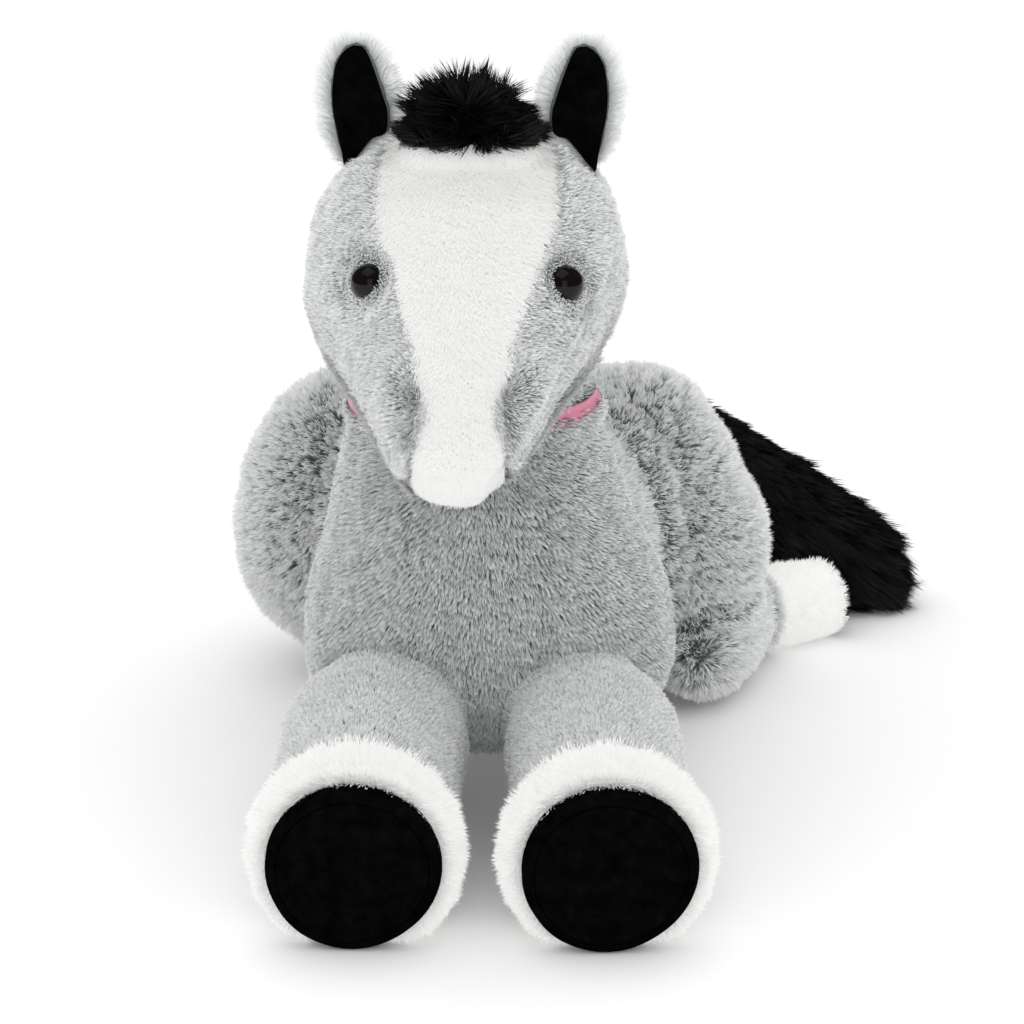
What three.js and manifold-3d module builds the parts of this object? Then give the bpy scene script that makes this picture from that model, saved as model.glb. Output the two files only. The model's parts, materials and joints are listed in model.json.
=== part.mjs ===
// A plush horse that lies on its belly with its front legs stretched out and its head up.
// Each part of the animal is a sewn cover, a shell of plush, round its own stuffing.
// Millimetres, +Z up, the horse looks along -Y, origin on the floor under the middle of the belly.
import * as THREE from 'three';
import { mergeVertices } from 'three/addons/utils/BufferGeometryUtils.js';
import Module from 'manifold-3d';

const wasm = await Module();
wasm.setup();

// Fabric
const clearance = 0.3; // between pieces that touch
const coverWall = 5; // plush backing with its lying pile
const velourWall = 2.4; // short black velour of the hooves
const ribbonWall = 1.4;
const floorSink = 0.6; // how far a limb is pressed flat by the floor
const weld = 0.0001; // points of a mesh closer than this are one

// Trunk: a barrel along Y
const trunkLength = 240;
const trunkWidth = 184;
const trunkHeight = 188;
const trunkSink = 5; // the belly is pressed flat by this much

// Chest and neck: an upright column in front of the trunk, with the ball that the head turns on
const chestWidth = 182;
const chestDepth = 146;
const chestForward = 131; // from the belly's middle to the column's axis
const chestFoot = 21; // lowest point above the floor
const neckHeight = 200; // floor to the middle of the neck's ball
const neckBall = 60; // radius
const neckOffset = -12; // the head is carried a little to one side

// Head
const headLength = 218;
const headWidth = 148;
const headDepth = 122;
const headDroop = 25.5; // degrees under level
const headBack = 25; // nape's end behind the neck's ball
const headRise = 78; // skull's axis at the nape, above the middle of the neck's ball
const blazeWidth = 88;

// Eyes: a dome on a ridged shank, locked by a washer inside the head
const eyeRadius = 8.8;
const eyeHeight = 7.6;
const eyeRim = 1.4;
const eyeSunk = 3.4; // dome's rim under the tips of the pile
const shankRadius = 2.2;
const shankRidge = 0.7;
const shankPitch = 2.8;
const shankLength = 13.4;
const washerRadius = 8.4;
const washerWall = 1.4;
const washerDish = 1.8;

// Ears
const earHeight = 60;
const earWidth = 42;
const earThickness = 10;
const earCup = 5.5; // the leaf's middle lies behind its edges by this
const earSpread = 118; // between the roots
const earRootRadius = 6.5; // of the rolled root that sits in a seam of the head
const earRootLength = 26;
const earLean = 4; // degrees inwards
const earSlope = 26; // degrees that its hinge slopes with the side of the skull
const earFold = 15; // degrees that it folds each way
const earTurnOut = 5; // degrees that it faces outwards
const liningWidth = 27;
const liningHeight = 54;
const liningWall = 1.6;

// Hair
const forelockWidth = 66;
const forelockHeight = 46;
const forelockDepth = 44;
const maneWidth = 30;
const maneHeight = 32;
const maneGap = 3; // between the head's mane and the neck's

// Front legs
const legDiameter = 89; // at the shoulder
const legReach = 143; // from the shoulder's middle to the sole
const legLift = 20; // degrees
const shoulderSpread = 102;
const shoulderShift = -4; // the chest leans to the same side as the head
const shoulderForward = 199;
const hoofSpread = 114;
const hoofDiameter = 78;
const sockLength = 31;
const sockPile = 5; // the long white pile stands over the leg by this
const bandLength = 9;
const soleCrown = 5;

// Hind legs
const thighLength = 172;
const thighWidth = 124;
const thighHeight = 156;
const thighTilt = 9; // degrees, the rump's end is higher
const shinDiameter = 56;
const shinBow = 20; // how far the right shin's middle is bowed in under the thigh
const hindSockLength = 48;
const hindSockPile = 3.5;
const hindHoofDiameter = 38;

// Tail
const tailDiameter = 62;
const tailRootDiameter = 36;
const tailHeight = 146; // root's middle above the floor
const tailReach = 222; // to the side of the root

// Ribbon round the neck
const ribbonWidth = 8.5;
const ribbonDrop = 1; // middle of the band under the middle of the neck's ball

const colours = {
  greyPlush: [0xb4bab9, 0.95],
  whitePlush: [0xeeeeec, 0.95],
  blackPile: [0x141416, 0.9],
  blackVelour: [0x0f0f10, 0.85],
  eyePlastic: [0x0a0706, 0.08],
  washerPlastic: [0xe8e6e0, 0.5],
  stuffing: [0xf4f4f0, 1],
  ribbon: [0xd9859f, 0.8],
};

// Rings and sides of the faceted forms, and steps of the turned ones
const outside = [10, 16];
const inside = [7, 10];
const small = [7, 9];
const skull = [11, 16];
const shinCounts = [8, 12];
const tailCounts = [10, 12];
const ballSides = 16;
const legSides = 16;
const hoofSides = 20;
const eyeSides = 12;
const arcSteps = 4;

const V = (x, y, z) => new THREE.Vector3(x, y, z);
const up = V(0, 0, 1);
const radians = THREE.MathUtils.degToRad;
const sides = { left: -1, right: 1 };

// A closed geometry as a manifold solid.
function solidOf(geometry) {
  const bare = geometry.index ? geometry.toNonIndexed() : geometry.clone();
  bare.deleteAttribute('normal');
  bare.deleteAttribute('uv');
  const merged = mergeVertices(bare, weld);
  return new wasm.Manifold(
    new wasm.Mesh({
      numProp: 3,
      vertProperties: new Float32Array(merged.attributes.position.array),
      triVerts: new Uint32Array(merged.index.array),
    }),
  );
}

const unite = (...solids) => solids.reduce((all, one) => all.add(one));
const cut = (solid, ...tools) => tools.reduce((left, tool) => left.subtract(tool), solid);

// The main piece of a cut solid, without the crumbs that the cut leaves.
const largest = (solid) =>
  solid.decompose().reduce((best, piece) => (piece.volume() > best.volume() ? piece : best));

const toy = new THREE.Group();
const bodies = {};

// Adds a finished piece to the group of the body that it moves with.
function add(body, name, solid, [color, roughness]) {
  if (!bodies[body]) {
    bodies[body] = new THREE.Group();
    toy.add(bodies[body]);
  }
  const mesh = largest(solid).getMesh();
  const geometry = new THREE.BufferGeometry();
  geometry.setAttribute('position', new THREE.BufferAttribute(mesh.vertProperties, mesh.numProp));
  geometry.setIndex(new THREE.BufferAttribute(mesh.triVerts, 1));
  geometry.computeVertexNormals();
  const piece = new THREE.Mesh(geometry, new THREE.MeshStandardMaterial({ color, roughness, metalness: 0 }));
  piece.name = name;
  bodies[body].add(piece);
}

// A smooth value through evenly spaced values, at share t of the way.
function through(values, t) {
  const place = THREE.MathUtils.clamp(t, 0, 1) * (values.length - 1);
  const i = Math.min(Math.floor(place), values.length - 2);
  const f = place - i;
  const near = [i - 1, i, i + 1, i + 2].map((k) => values[THREE.MathUtils.clamp(k, 0, values.length - 1)]);
  const [a, b, c, d] = near;
  return b + 0.5 * f * (c - a + f * (2 * a - 5 * b + 4 * c - d + f * (3 * (b - c) + d - a)));
}

// A stuffed form swells and tapers along a row of stations {at, side, up, down} and has round ends.
// blunt is 2 for an egg and more for a sausage, square does the same for the section,
// cup bends the section, and heading is the way that its top faces.
class Stuffed {
  constructor(stations, { blunt = 2.6, square = 2.15, cup = 0, heading = up } = {}) {
    Object.assign(this, { stations, blunt, square, cup, heading });
  }

  value(pick, t) {
    return through(this.stations.map(pick), t);
  }

  axis(t) {
    return V(...['x', 'y', 'z'].map((key) => this.value((station) => station.at[key], t)));
  }

  // The point at share t along and share r round, from one side over the top.
  point(t, r) {
    const stepShare = 0.01;
    const [before, after] = [Math.max(t - stepShare, 0), Math.min(t + stepShare, 1)];
    const along = this.axis(after).sub(this.axis(before)).normalize();
    const across = along.clone().cross(this.heading).normalize();
    const above = across.clone().cross(along);
    const swell = Math.sqrt(Math.max(0, 1 - Math.abs(2 * t - 1) ** this.blunt));
    const round = (v) => Math.sign(v) * Math.abs(v) ** (2 / this.square);
    const [c, s] = [Math.cos(2 * Math.PI * r), Math.sin(2 * Math.PI * r)];
    const sideways = this.value((station) => station.side, t) * swell * round(c);
    const upward = this.value((station) => (s > 0 ? station.up : station.down), t) * swell * round(s);
    const bend = this.cup * swell * c * c;
    return this.axis(t).addScaledVector(across, sideways).addScaledVector(above, upward + bend);
  }

  // The outward normal there.
  normal(t, r) {
    const stepShare = 0.004;
    const lengthwise = this.point(t + stepShare, r).sub(this.point(t - stepShare, r));
    const roundwise = this.point(t, r + stepShare).sub(this.point(t, r - stepShare));
    const normal = roundwise.cross(lengthwise).normalize();
    return normal.dot(this.point(t, r).sub(this.axis(t))) < 0 ? normal.negate() : normal;
  }

  // The closed solid, swollen by grow, with so many rings and points round each.
  solid([rings, count], grow = 0) {
    const points = [this.point(0, 0)];
    for (let i = 1; i < rings; i++) {
      const t = (1 - Math.cos((Math.PI * i) / rings)) / 2;
      for (let j = 0; j < count; j++) points.push(this.point(t, j / count));
    }
    points.push(this.point(1, 0));
    const last = points.length - 1;
    const at = (i, j) => 1 + (i - 1) * count + (j % count);
    const faces = [];
    for (let j = 0; j < count; j++) {
      faces.push(0, at(1, j), at(1, j + 1));
      faces.push(last, at(rings - 1, j + 1), at(rings - 1, j));
      for (let i = 1; i < rings - 1; i++) {
        faces.push(at(i, j), at(i + 1, j), at(i + 1, j + 1));
        faces.push(at(i, j), at(i + 1, j + 1), at(i, j + 1));
      }
    }
    const geometry = new THREE.BufferGeometry().setFromPoints(points);
    geometry.setIndex(faces);
    if (solidOf(geometry).volume() < 0) geometry.setIndex(faces.reverse());
    geometry.computeVertexNormals();
    const place = geometry.attributes.position;
    points.forEach((point, i) => {
      const normal = V(0, 0, 0).fromBufferAttribute(geometry.attributes.normal, i);
      place.setXYZ(i, ...point.addScaledVector(normal, grow));
    });
    return solidOf(geometry);
  }

  // The sewn cover and the stuffing that fills it.
  cover(counts = outside) {
    return this.solid(counts).subtract(this.solid(inside, -coverWall));
  }

  filling() {
    return this.solid(inside, -coverWall - clearance);
  }
}

// A ball with its poles up and down, and the radius of a seat that such a faceted ball can tilt in.
const faceted = (radius) => new THREE.SphereGeometry(radius, ballSides, ballSides / 2).rotateX(Math.PI / 2);
const ball = (centre, radius) => solidOf(faceted(radius).translate(...centre));
const facetShare = Math.cos(Math.PI / ballSides);
const seatRadius = (radius) => (radius + clearance) / facetShare ** 2;

// The seat of a ball that only turns about the vertical, so its poles sit close.
const turningSeat = (centre, radius) =>
  solidOf(faceted(radius + clearance).scale(1 / facetShare, 1 / facetShare, 1).translate(...centre));

// A frame at a point, with its local Z along a direction.
function frameAt(point, direction) {
  const z = direction.clone().normalize();
  const upright = Math.abs(z.z) === 1;
  const x = (upright ? V(0, 1, 0) : up.clone()).cross(z).normalize();
  return new THREE.Matrix4().makeBasis(x, z.clone().cross(x), z).setPosition(point);
}

// A solid turned about a frame's Z axis from a profile of [radius, height], in either order.
function turned(profile, count, frame) {
  const lathe = (points) => {
    const geometry = new THREE.LatheGeometry(points.map(([r, h]) => new THREE.Vector2(r, h)), count);
    return solidOf(geometry.rotateX(Math.PI / 2).applyMatrix4(frame));
  };
  const solid = lathe(profile);
  return solid.volume() > 0 ? solid : lathe([...profile].reverse());
}

// The closed profile of a sleeve between an outer and an inner line.
const sleeve = (outer, inner) => [...outer, ...[...inner].reverse(), outer[0]];

// A solid turned about the line through a point along a direction.
function swung(solid, point, direction, degrees) {
  const turn = new THREE.Matrix4().makeTranslation(point);
  turn.multiply(new THREE.Matrix4().makeRotationAxis(direction.clone().normalize(), radians(degrees)));
  turn.multiply(new THREE.Matrix4().makeTranslation(point.clone().negate()));
  return solid.transform(turn.elements);
}

// Half spaces, wide enough for the whole toy
const yard = 4 * (trunkLength + legReach + tailReach);
const above = (height) => solidOf(new THREE.BoxGeometry(yard, yard, yard).translate(0, 0, height + yard / 2));
const beyond = (frame, gap) =>
  solidOf(new THREE.BoxGeometry(yard, yard, yard).translate(0, 0, yard / 2 - gap).applyMatrix4(frame));
const overFloor = above(0);
const rested = (solid) => solid.intersect(overFloor);

// Trunk stations: along, half width, reach up and reach down
const trunkShares = [
  [-0.5, 0.44, 0.5, 0.5],
  [-0.25, 0.47, 0.48, 0.5],
  [0, 0.5, 0.47, 0.5],
  [0.25, 0.5, 0.5, 0.5],
  [0.5, 0.42, 0.46, 0.49],
];
const trunk = new Stuffed(
  trunkShares.map(([along, wide, over, under]) => ({
    at: V(0, along * trunkLength, trunkHeight / 2 - trunkSink),
    side: wide * trunkWidth,
    up: over * trunkHeight,
    down: under * trunkHeight,
  })),
  { blunt: 2.9 },
);
const trunkSeat = trunk.solid(outside, clearance);

// Chest stations from the foot up: level, half width, reach forward and reach back
const chestShares = [
  [0, 0.49, 0.34, 0.42],
  [0.2, 0.5, 0.42, 0.43],
  [0.4, 0.485, 0.46, 0.43],
  [0.6, 0.44, 0.47, 0.42],
  [0.8, 0.385, 0.43, 0.4],
  [1, 0.335, 0.38, 0.38],
  [1.2, 0.32, 0.36, 0.36],
];
const chest = new Stuffed(
  chestShares.map(([level, wide, fore, aft]) => ({
    at: V(level * neckOffset, -chestForward, chestFoot + level * (neckHeight - chestFoot)),
    side: wide * chestWidth,
    up: fore * chestDepth,
    down: aft * chestDepth,
  })),
  { blunt: 7, square: 2.3, heading: V(0, -1, 0) },
);
const neck = V(neckOffset, -chestForward, neckHeight);
const chestAndNeck = (grow, counts = outside) =>
  unite(chest.solid(counts, grow).subtract(above(neckHeight)), ball(neck, neckBall + grow));
const chestSeat = chestAndNeck(clearance);
const neckSeat = turningSeat(neck, neckBall);

// Ribbon: the part of a sleeve on the neck that lies in a level slab
const ribbonTop = neckHeight - ribbonDrop + ribbonWidth / 2;
const ribbonSlab = cut(above(ribbonTop - ribbonWidth), above(ribbonTop));
const ribbonOutside = chestAndNeck(clearance + ribbonWall);
const ribbonRoom = chestAndNeck(2 * clearance + ribbonWall).intersect(ribbonSlab);
// What the ribbon sweeps under a head that turns.
const ribbonReach = (neckBall + ribbonWall + 2 * clearance) / facetShare;
const ribbonDisc = [
  [0, ribbonWidth],
  [ribbonReach, ribbonWidth],
  [ribbonReach, -neckBall],
  [0, -neckBall],
];
const ribbonSweep = cut(turned(ribbonDisc, ballSides, frameAt(neck, up)), above(ribbonTop + clearance));

// Front leg: turned about the line from its shoulder to its sole
const legRadius = legDiameter / 2;
const hoofRadius = hoofDiameter / 2;
const bandStart = legReach - bandLength;
const sockStart = bandStart - sockLength;
const shoulder = (side) =>
  V(shoulderShift + (side * shoulderSpread) / 2, -shoulderForward, legRadius - floorSink);
const sole = (side) => V((side * hoofSpread) / 2, -shoulderForward - legReach, hoofRadius - floorSink);
const legFrame = (side) => frameAt(shoulder(side), sole(side).sub(shoulder(side)));
const legTaperShares = [1, 0.97, 0.95, 0.935];
const legRadiusAt = (h) => legRadius * through(legTaperShares, h / legReach);

// The line of a leg from its round end to a distance, drawn in by a wall.
function legLine(end, wall) {
  const line = [];
  for (let i = 0; i <= arcSteps; i++) {
    const angle = (Math.PI / 2) * (i / arcSteps);
    line.push([(legRadius - wall) * Math.sin(angle), -(legRadius - wall) * Math.cos(angle)]);
  }
  for (const share of [0.5, 1]) line.push([legRadiusAt(end * share) - wall, end * share]);
  return line;
}

// What a leg sweeps in the chest as it is lifted from the floor.
const legSweepShares = [0, 0.35, 0.7, 1.05];
function legRoom(side) {
  const seat = seatRadius(legRadius);
  const stub = [[0, 0], [seat, 0], [seat, legRadius], [0, legRadius]];
  const rest = turned(stub, ballSides, legFrame(side));
  const lifts = legSweepShares.map((share) => swung(rest, shoulder(side), V(-1, 0, 0), share * legLift));
  return unite(ball(shoulder(side), seat), ...lifts);
}
const legRooms = Object.values(sides).map(legRoom);

// Head stations from the nape to the nose: along, half width, reach up and reach down
const headShares = [
  [0, 0.38, 0.44, 0.34],
  [0.12, 0.47, 0.54, 0.4],
  [0.26, 0.51, 0.6, 0.42],
  [0.4, 0.505, 0.57, 0.4],
  [0.54, 0.45, 0.48, 0.34],
  [0.7, 0.34, 0.36, 0.3],
  [0.85, 0.27, 0.27, 0.29],
  [1, 0.25, 0.22, 0.27],
];
const headAxis = V(0, -Math.cos(radians(headDroop)), -Math.sin(radians(headDroop)));
const headAbove = V(-1, 0, 0).cross(headAxis);
const nape = V(neckOffset, neck.y + headBack, neckHeight + headRise);
const onHeadAxis = (along) => nape.clone().addScaledVector(headAxis, along * headLength - headBack);
const head = new Stuffed(
  headShares.map(([along, wide, over, under]) => ({
    at: onHeadAxis(along),
    side: wide * headWidth,
    up: over * headDepth,
    down: under * headDepth,
  })),
  { blunt: 5, square: 2.4 },
);
const headSeat = head.solid(skull, clearance);

// Tail stations from the root to the tip: out, back, drop and thickness
const tailShares = [
  [0, 0, 0, 0.52],
  [0.16, 0.12, 0.09, 0.66],
  [0.36, 0.2, 0.29, 0.9],
  [0.6, 0.22, 0.52, 1],
  [0.84, 0.21, 0.805, 1],
  [1, 0.2, 0.845, 0.8],
];
const tailRootShare = 0.44; // of the trunk's length, behind its middle
const tailRoot = V(0, trunkLength * tailRootShare, tailHeight);
const tail = new Stuffed(
  tailShares.map(([out, back, drop, thick]) => ({
    at: tailRoot.clone().add(V(out * tailReach, back * tailReach, -drop * tailHeight)),
    side: (thick * tailDiameter) / 2,
    up: (thick * tailDiameter) / 2,
    down: (thick * tailDiameter) / 2,
  })),
  { blunt: 5 },
);
const tailRoom = unite(turningSeat(tailRoot, tailRootDiameter / 2), tail.solid(tailCounts, clearance));

// The front of the body
function torso() {
  const [cover, stuffing] = [colours.greyPlush, colours.stuffing];
  const chestInside = (grow) => chestAndNeck(grow, inside);
  add('torso', 'chest_cover', cut(chestAndNeck(0), chestInside(-coverWall), ...legRooms), cover);
  add('torso', 'chest_stuffing', cut(chestInside(-coverWall - clearance), ...legRooms), stuffing);
  const trunkCuts = [chestSeat, ...legRooms, tailRoom];
  add('torso', 'trunk_cover', cut(rested(trunk.cover()), ...trunkCuts), cover);
  add('torso', 'trunk_stuffing', cut(rested(trunk.filling()), ...trunkCuts), stuffing);
  add('torso', 'neck_ribbon', cut(ribbonOutside, chestSeat).intersect(ribbonSlab), colours.ribbon);
}

// Thigh stations from front to back: along, half width, reach up and reach down
const thighShares = [
  [-0.3, 0.38, 0.38, 0.34],
  [-0.12, 0.49, 0.53, 0.44],
  [0.12, 0.51, 0.58, 0.45],
  [0.5, 0.36, 0.44, 0.36],
];
// Shin stations from the knee to the foot: along, thickness and bow
const shinShares = [
  [0, 0.95, 0],
  [0.23, 1.08, 0.5],
  [0.49, 1.06, 1],
  [0.735, 0.82, 1.02],
  [1, 0.72, 0],
];
const hindSwellShares = [0.4, 1, 1, 0.4];
const shinRadius = shinDiameter / 2;

// A hind leg lies folded: the thigh along the trunk and the shin on the floor beside it.
function hindLeg(name, { middle, lean, knee, foot, bow }) {
  const along = V(0, Math.cos(radians(thighTilt)), Math.sin(radians(thighTilt)));
  const thigh = new Stuffed(
    thighShares.map(([share, wide, over, under]) => ({
      at: middle.clone().addScaledVector(along, share * thighLength),
      side: wide * thighWidth,
      up: over * thighHeight,
      down: under * thighHeight,
    })),
    { blunt: 2.5, heading: V(Math.sin(radians(lean)), 0, Math.cos(radians(lean))) },
  );
  // The shin lies on the floor, and its middle is bowed in under the thigh.
  const inwards = up.clone().cross(foot.clone().sub(knee)).normalize().multiplyScalar(bow);
  const stations = shinShares.map(([share, thick, bend]) => ({
    at: knee.clone().lerp(foot, share).addScaledVector(inwards, bend).setZ(thick * shinRadius - floorSink),
    side: thick * shinRadius,
    up: thick * shinRadius,
    down: thick * shinRadius,
  }));
  const shin = new Stuffed(stations, { blunt: 4 });
  const seats = [trunkSeat, chestSeat];
  const thighCuts = [...seats, shin.solid(shinCounts, clearance)];
  add('torso', `${name}_thigh_cover`, cut(rested(thigh.cover()), ...thighCuts), colours.greyPlush);
  add('torso', `${name}_thigh_stuffing`, cut(rested(thigh.filling()), ...thighCuts), colours.stuffing);
  const [ankle, end] = stations.slice(-2).map(({ at }) => at);
  const direction = end.clone().sub(ankle).normalize();
  const frame = frameAt(end.clone().addScaledVector(direction, -hindSockLength), direction);
  const shinCuts = [...seats, beyond(frame, clearance)];
  add('torso', `${name}_shin_cover`, cut(rested(shin.cover(shinCounts)), ...shinCuts), colours.greyPlush);
  add('torso', `${name}_shin_stuffing`, cut(rested(shin.filling()), ...shinCuts), colours.stuffing);
  // The sock's long pile swells over the shin's seam, and a closed black cap fills its end.
  const hindRadius = hindHoofDiameter / 2;
  const put = (profile) => cut(rested(turned(profile, legSides, frame)), ...seats);
  const outer = hindSwellShares.map((swell, i) => [
    hindRadius + hindSockPile * swell,
    (hindSockLength * i) / (hindSwellShares.length - 1),
  ]);
  const inner = [0, hindSockLength].map((h) => [hindRadius - coverWall, h]);
  add('torso', `${name}_sock`, put(sleeve(outer, inner)), colours.whitePlush);
  const plug = hindRadius - coverWall - clearance;
  const cap = [
    [0, clearance],
    [plug, clearance],
    [plug, hindSockLength + clearance],
    [hindRadius - velourWall / 2, hindSockLength + clearance],
    [hindRadius, hindSockLength + bandLength / 2],
    [hindRadius - velourWall, hindSockLength + bandLength],
    [0, hindSockLength + bandLength + soleCrown / 2],
  ];
  add('torso', `${name}_hoof`, put(cap), colours.blackVelour);
}

// The right hind leg is splayed with its foot out, and the left one is tucked along the trunk.
// Places are shares of the trunk's width, length and height.
const hindPlaces = {
  right: {
    middleShares: [0.41, 0.03, 0.485],
    lean: -14,
    kneeShares: [0.545, -0.175, 0],
    footShares: [0.938, 0.43, 0],
    bow: shinBow,
  },
  left: {
    middleShares: [-0.45, 0.13, 0.435],
    lean: 4,
    kneeShares: [-0.42, 0.02, 0],
    footShares: [-0.5, 0.56, 0],
    bow: 0,
  },
};
function hindLegs() {
  const trunkSize = V(trunkWidth, trunkLength, trunkHeight);
  for (const [label, { middleShares, lean, kneeShares, footShares, bow }] of Object.entries(hindPlaces)) {
    hindLeg(`hind_leg_${label}`, {
      middle: V(...middleShares).multiply(trunkSize),
      lean,
      knee: V(...kneeShares).multiply(trunkSize),
      foot: V(...footShares).multiply(trunkSize),
      bow,
    });
  }
}

const sockSwellShares = [0.35, 0.85, 1, 0.9, 0.45];
const crownShares = [1, 0.94, 0.75, 0.45, 0];

function frontLeg(label) {
  const side = sides[label];
  const body = `front_leg_${label}`;
  const put = (profile, count = legSides) => rested(turned(profile, count, legFrame(side)));
  const coverEnd = sockStart - clearance;
  const sockEnd = bandStart - clearance;
  const cover = sleeve(legLine(coverEnd, 0), legLine(coverEnd, coverWall));
  add(body, `${body}_cover`, put(cover), colours.greyPlush);
  // The sock's long white pile swells over the seams of the leg and the hoof.
  const sockOuter = sockSwellShares.map((swell, i) => {
    const h = sockStart + ((sockEnd - sockStart) * i) / (sockSwellShares.length - 1);
    return [legRadiusAt(h) + sockPile * swell, h];
  });
  const sockInner = [sockStart, sockEnd].map((h) => [legRadiusAt(h) - coverWall, h]);
  add(body, `${body}_sock`, put(sleeve(sockOuter, sockInner)), colours.whitePlush);
  // The hoof's side band is rolled over at the sole's seam.
  const bandInner = hoofRadius - velourWall;
  const roll = bandLength / 3;
  const band = [
    [hoofRadius, bandStart],
    [hoofRadius + velourWall / 4, bandStart + roll],
    [hoofRadius, legReach - roll],
    [bandInner, legReach - clearance],
    [bandInner, bandStart],
    [hoofRadius, bandStart],
  ];
  add(body, `${body}_hoof_band`, put(band, hoofSides), colours.blackVelour);
  // The sole is a disc with a low crown, sewn into the band.
  const soleRadius = bandInner - clearance;
  const disc = [
    ...crownShares.map((share) => [soleRadius * share, legReach - clearance + soleCrown * (1 - share ** 2)]),
    [0, legReach - velourWall],
    [soleRadius, legReach - velourWall],
    [soleRadius, legReach - clearance],
  ];
  add(body, `${body}_hoof_sole`, put(disc, hoofSides), colours.blackVelour);
  const coreRadius = bandInner * Math.cos(Math.PI / hoofSides) - clearance;
  const core = [
    ...legLine(sockEnd, coverWall + clearance),
    [coreRadius, sockEnd],
    [coreRadius, legReach - velourWall - clearance],
    [0, legReach - velourWall - clearance],
  ];
  add(body, `${body}_stuffing`, put(core), colours.stuffing);
}

// Blaze: half widths of the white panel down the face, at shares of the head's length
const blazeShares = [
  [0.11, 0.45],
  [0.25, 0.485],
  [0.41, 0.487],
  [0.51, 0.42],
  [0.6, 0.353],
  [0.7, 0.279],
  [0.78, 0.237],
  [0.85, 0.2],
  [0.9, 0.222],
  [0.935, 0.262],
  [1.05, 0.25],
];
const noseShare = 0.8; // from here on the panel also wraps the nose
const blazeUnderShare = 0.22; // of the head's depth, under the axis

// The space over the panel's outline, swollen by grow.
function blazeRoom(grow) {
  const prism = (outline, under) => {
    const points = [
      ...outline.map(([s, w]) => new THREE.Vector2(w, s)),
      ...outline.map(([s, w]) => new THREE.Vector2(-w, s)).reverse(),
    ];
    const depth = headDepth + under;
    const geometry = new THREE.ExtrudeGeometry(new THREE.Shape(points), { depth, bevelEnabled: false });
    const frame = new THREE.Matrix4().makeBasis(V(-1, 0, 0), headAxis, headAbove);
    frame.setPosition(nape.clone().addScaledVector(headAbove, -under));
    return solidOf(geometry.applyMatrix4(frame));
  };
  const outline = blazeShares.map(([along, wide]) => [
    along * headLength - headBack,
    wide * blazeWidth + grow,
  ]);
  outline[0][0] -= grow;
  const nose = outline.filter((point, i) => blazeShares[i][0] > noseShare);
  return unite(prism(outline, grow), prism(nose, blazeUnderShare * headDepth + grow));
}

// Eyes: share along the head and share round it
const eyeShares = { left: [0.585, 0.135], right: [0.585, 0.375] };
function eyeFrame(label) {
  const [along, round] = eyeShares[label];
  const normal = head.normal(along, round);
  return frameAt(head.point(along, round).addScaledVector(normal, -eyeSunk), normal);
}

// A dome of a radius and height on a rim, as the start of a profile.
function dome(grow) {
  const profile = [];
  for (let i = 0; i <= arcSteps; i++) {
    const angle = (Math.PI / 2) * (1 - i / arcSteps);
    profile.push([(eyeRadius + grow) * Math.cos(angle), (eyeHeight + grow) * Math.sin(angle)]);
  }
  profile.push([eyeRadius + grow, -eyeRim - grow]);
  return profile;
}
const washerTop = -eyeRim - (coverWall + washerDish - eyeSunk);
const ridgeRadius = shankRadius + shankRidge;

function eye(label) {
  const frame = eyeFrame(label);
  const ridges = [washerTop - washerDish - washerWall - clearance, -shankLength + shankPitch];
  const shank = ridges.flatMap((top) => [
    [shankRadius, top],
    [ridgeRadius, top - shankPitch / 3],
    [shankRadius, top - shankPitch / 2],
  ]);
  const end = [[shankRadius, -shankLength], [0, -shankLength]];
  const profile = [...dome(0), [shankRadius, -eyeRim], ...shank, ...end];
  add('head', `eye_${label}`, turned(profile, eyeSides, frame), colours.eyePlastic);
  const bore = ridgeRadius + clearance;
  const washer = [
    [bore, washerTop - washerDish],
    [washerRadius, washerTop],
    [washerRadius, washerTop - washerWall],
    [bore, washerTop - washerDish - washerWall],
    [bore, washerTop - washerDish],
  ];
  add('head', `eye_${label}_washer`, turned(washer, eyeSides, frame), colours.washerPlastic);
}

// The room of an eye in the cover, and that of its shank and washer in the stuffing
function eyeRooms(label) {
  const frame = eyeFrame(label);
  const end = -shankLength - clearance;
  const hole = (top) => [[washerRadius + clearance, top], [washerRadius + clearance, end], [0, end]];
  const bore = ridgeRadius + clearance;
  const press = washerTop + clearance;
  const neckIn = [[bore, -eyeRim - clearance], [bore, press]];
  return {
    inCover: turned([...dome(clearance), ...neckIn, ...hole(press)], eyeSides, frame),
    inStuffing: turned([[0, 0], ...hole(0)], eyeSides, frame),
  };
}

// Ears: stations of the leaf from the root up, as level, half width and half thickness
const earShares = [
  [0, 0.36, 0.5],
  [0.2, 0.46, 0.5],
  [0.45, 0.5, 0.45],
  [0.7, 0.42, 0.4],
  [0.88, 0.28, 0.34],
  [1, 0.2, 0.3],
];
// Lining stations from its lower tip up: level, outer half and inner half
const liningShares = [
  [0, 0.04, 0.06],
  [0.15, 0.16, 0.32],
  [0.27, 0.22, 0.54],
  [0.52, 0.28, 0.63],
  [0.72, 0.26, 0.52],
  [0.86, 0.19, 0.34],
  [0.96, 0.06, 0.18],
  [1, 0, 0.1],
];
const liningStartShare = 0.02; // the lining's lower tip above the ear's root
const earRootShares = [0.2, 0.115]; // along the head and round it
const halfRoundShare = 0.5; // half of the way round the head

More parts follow.
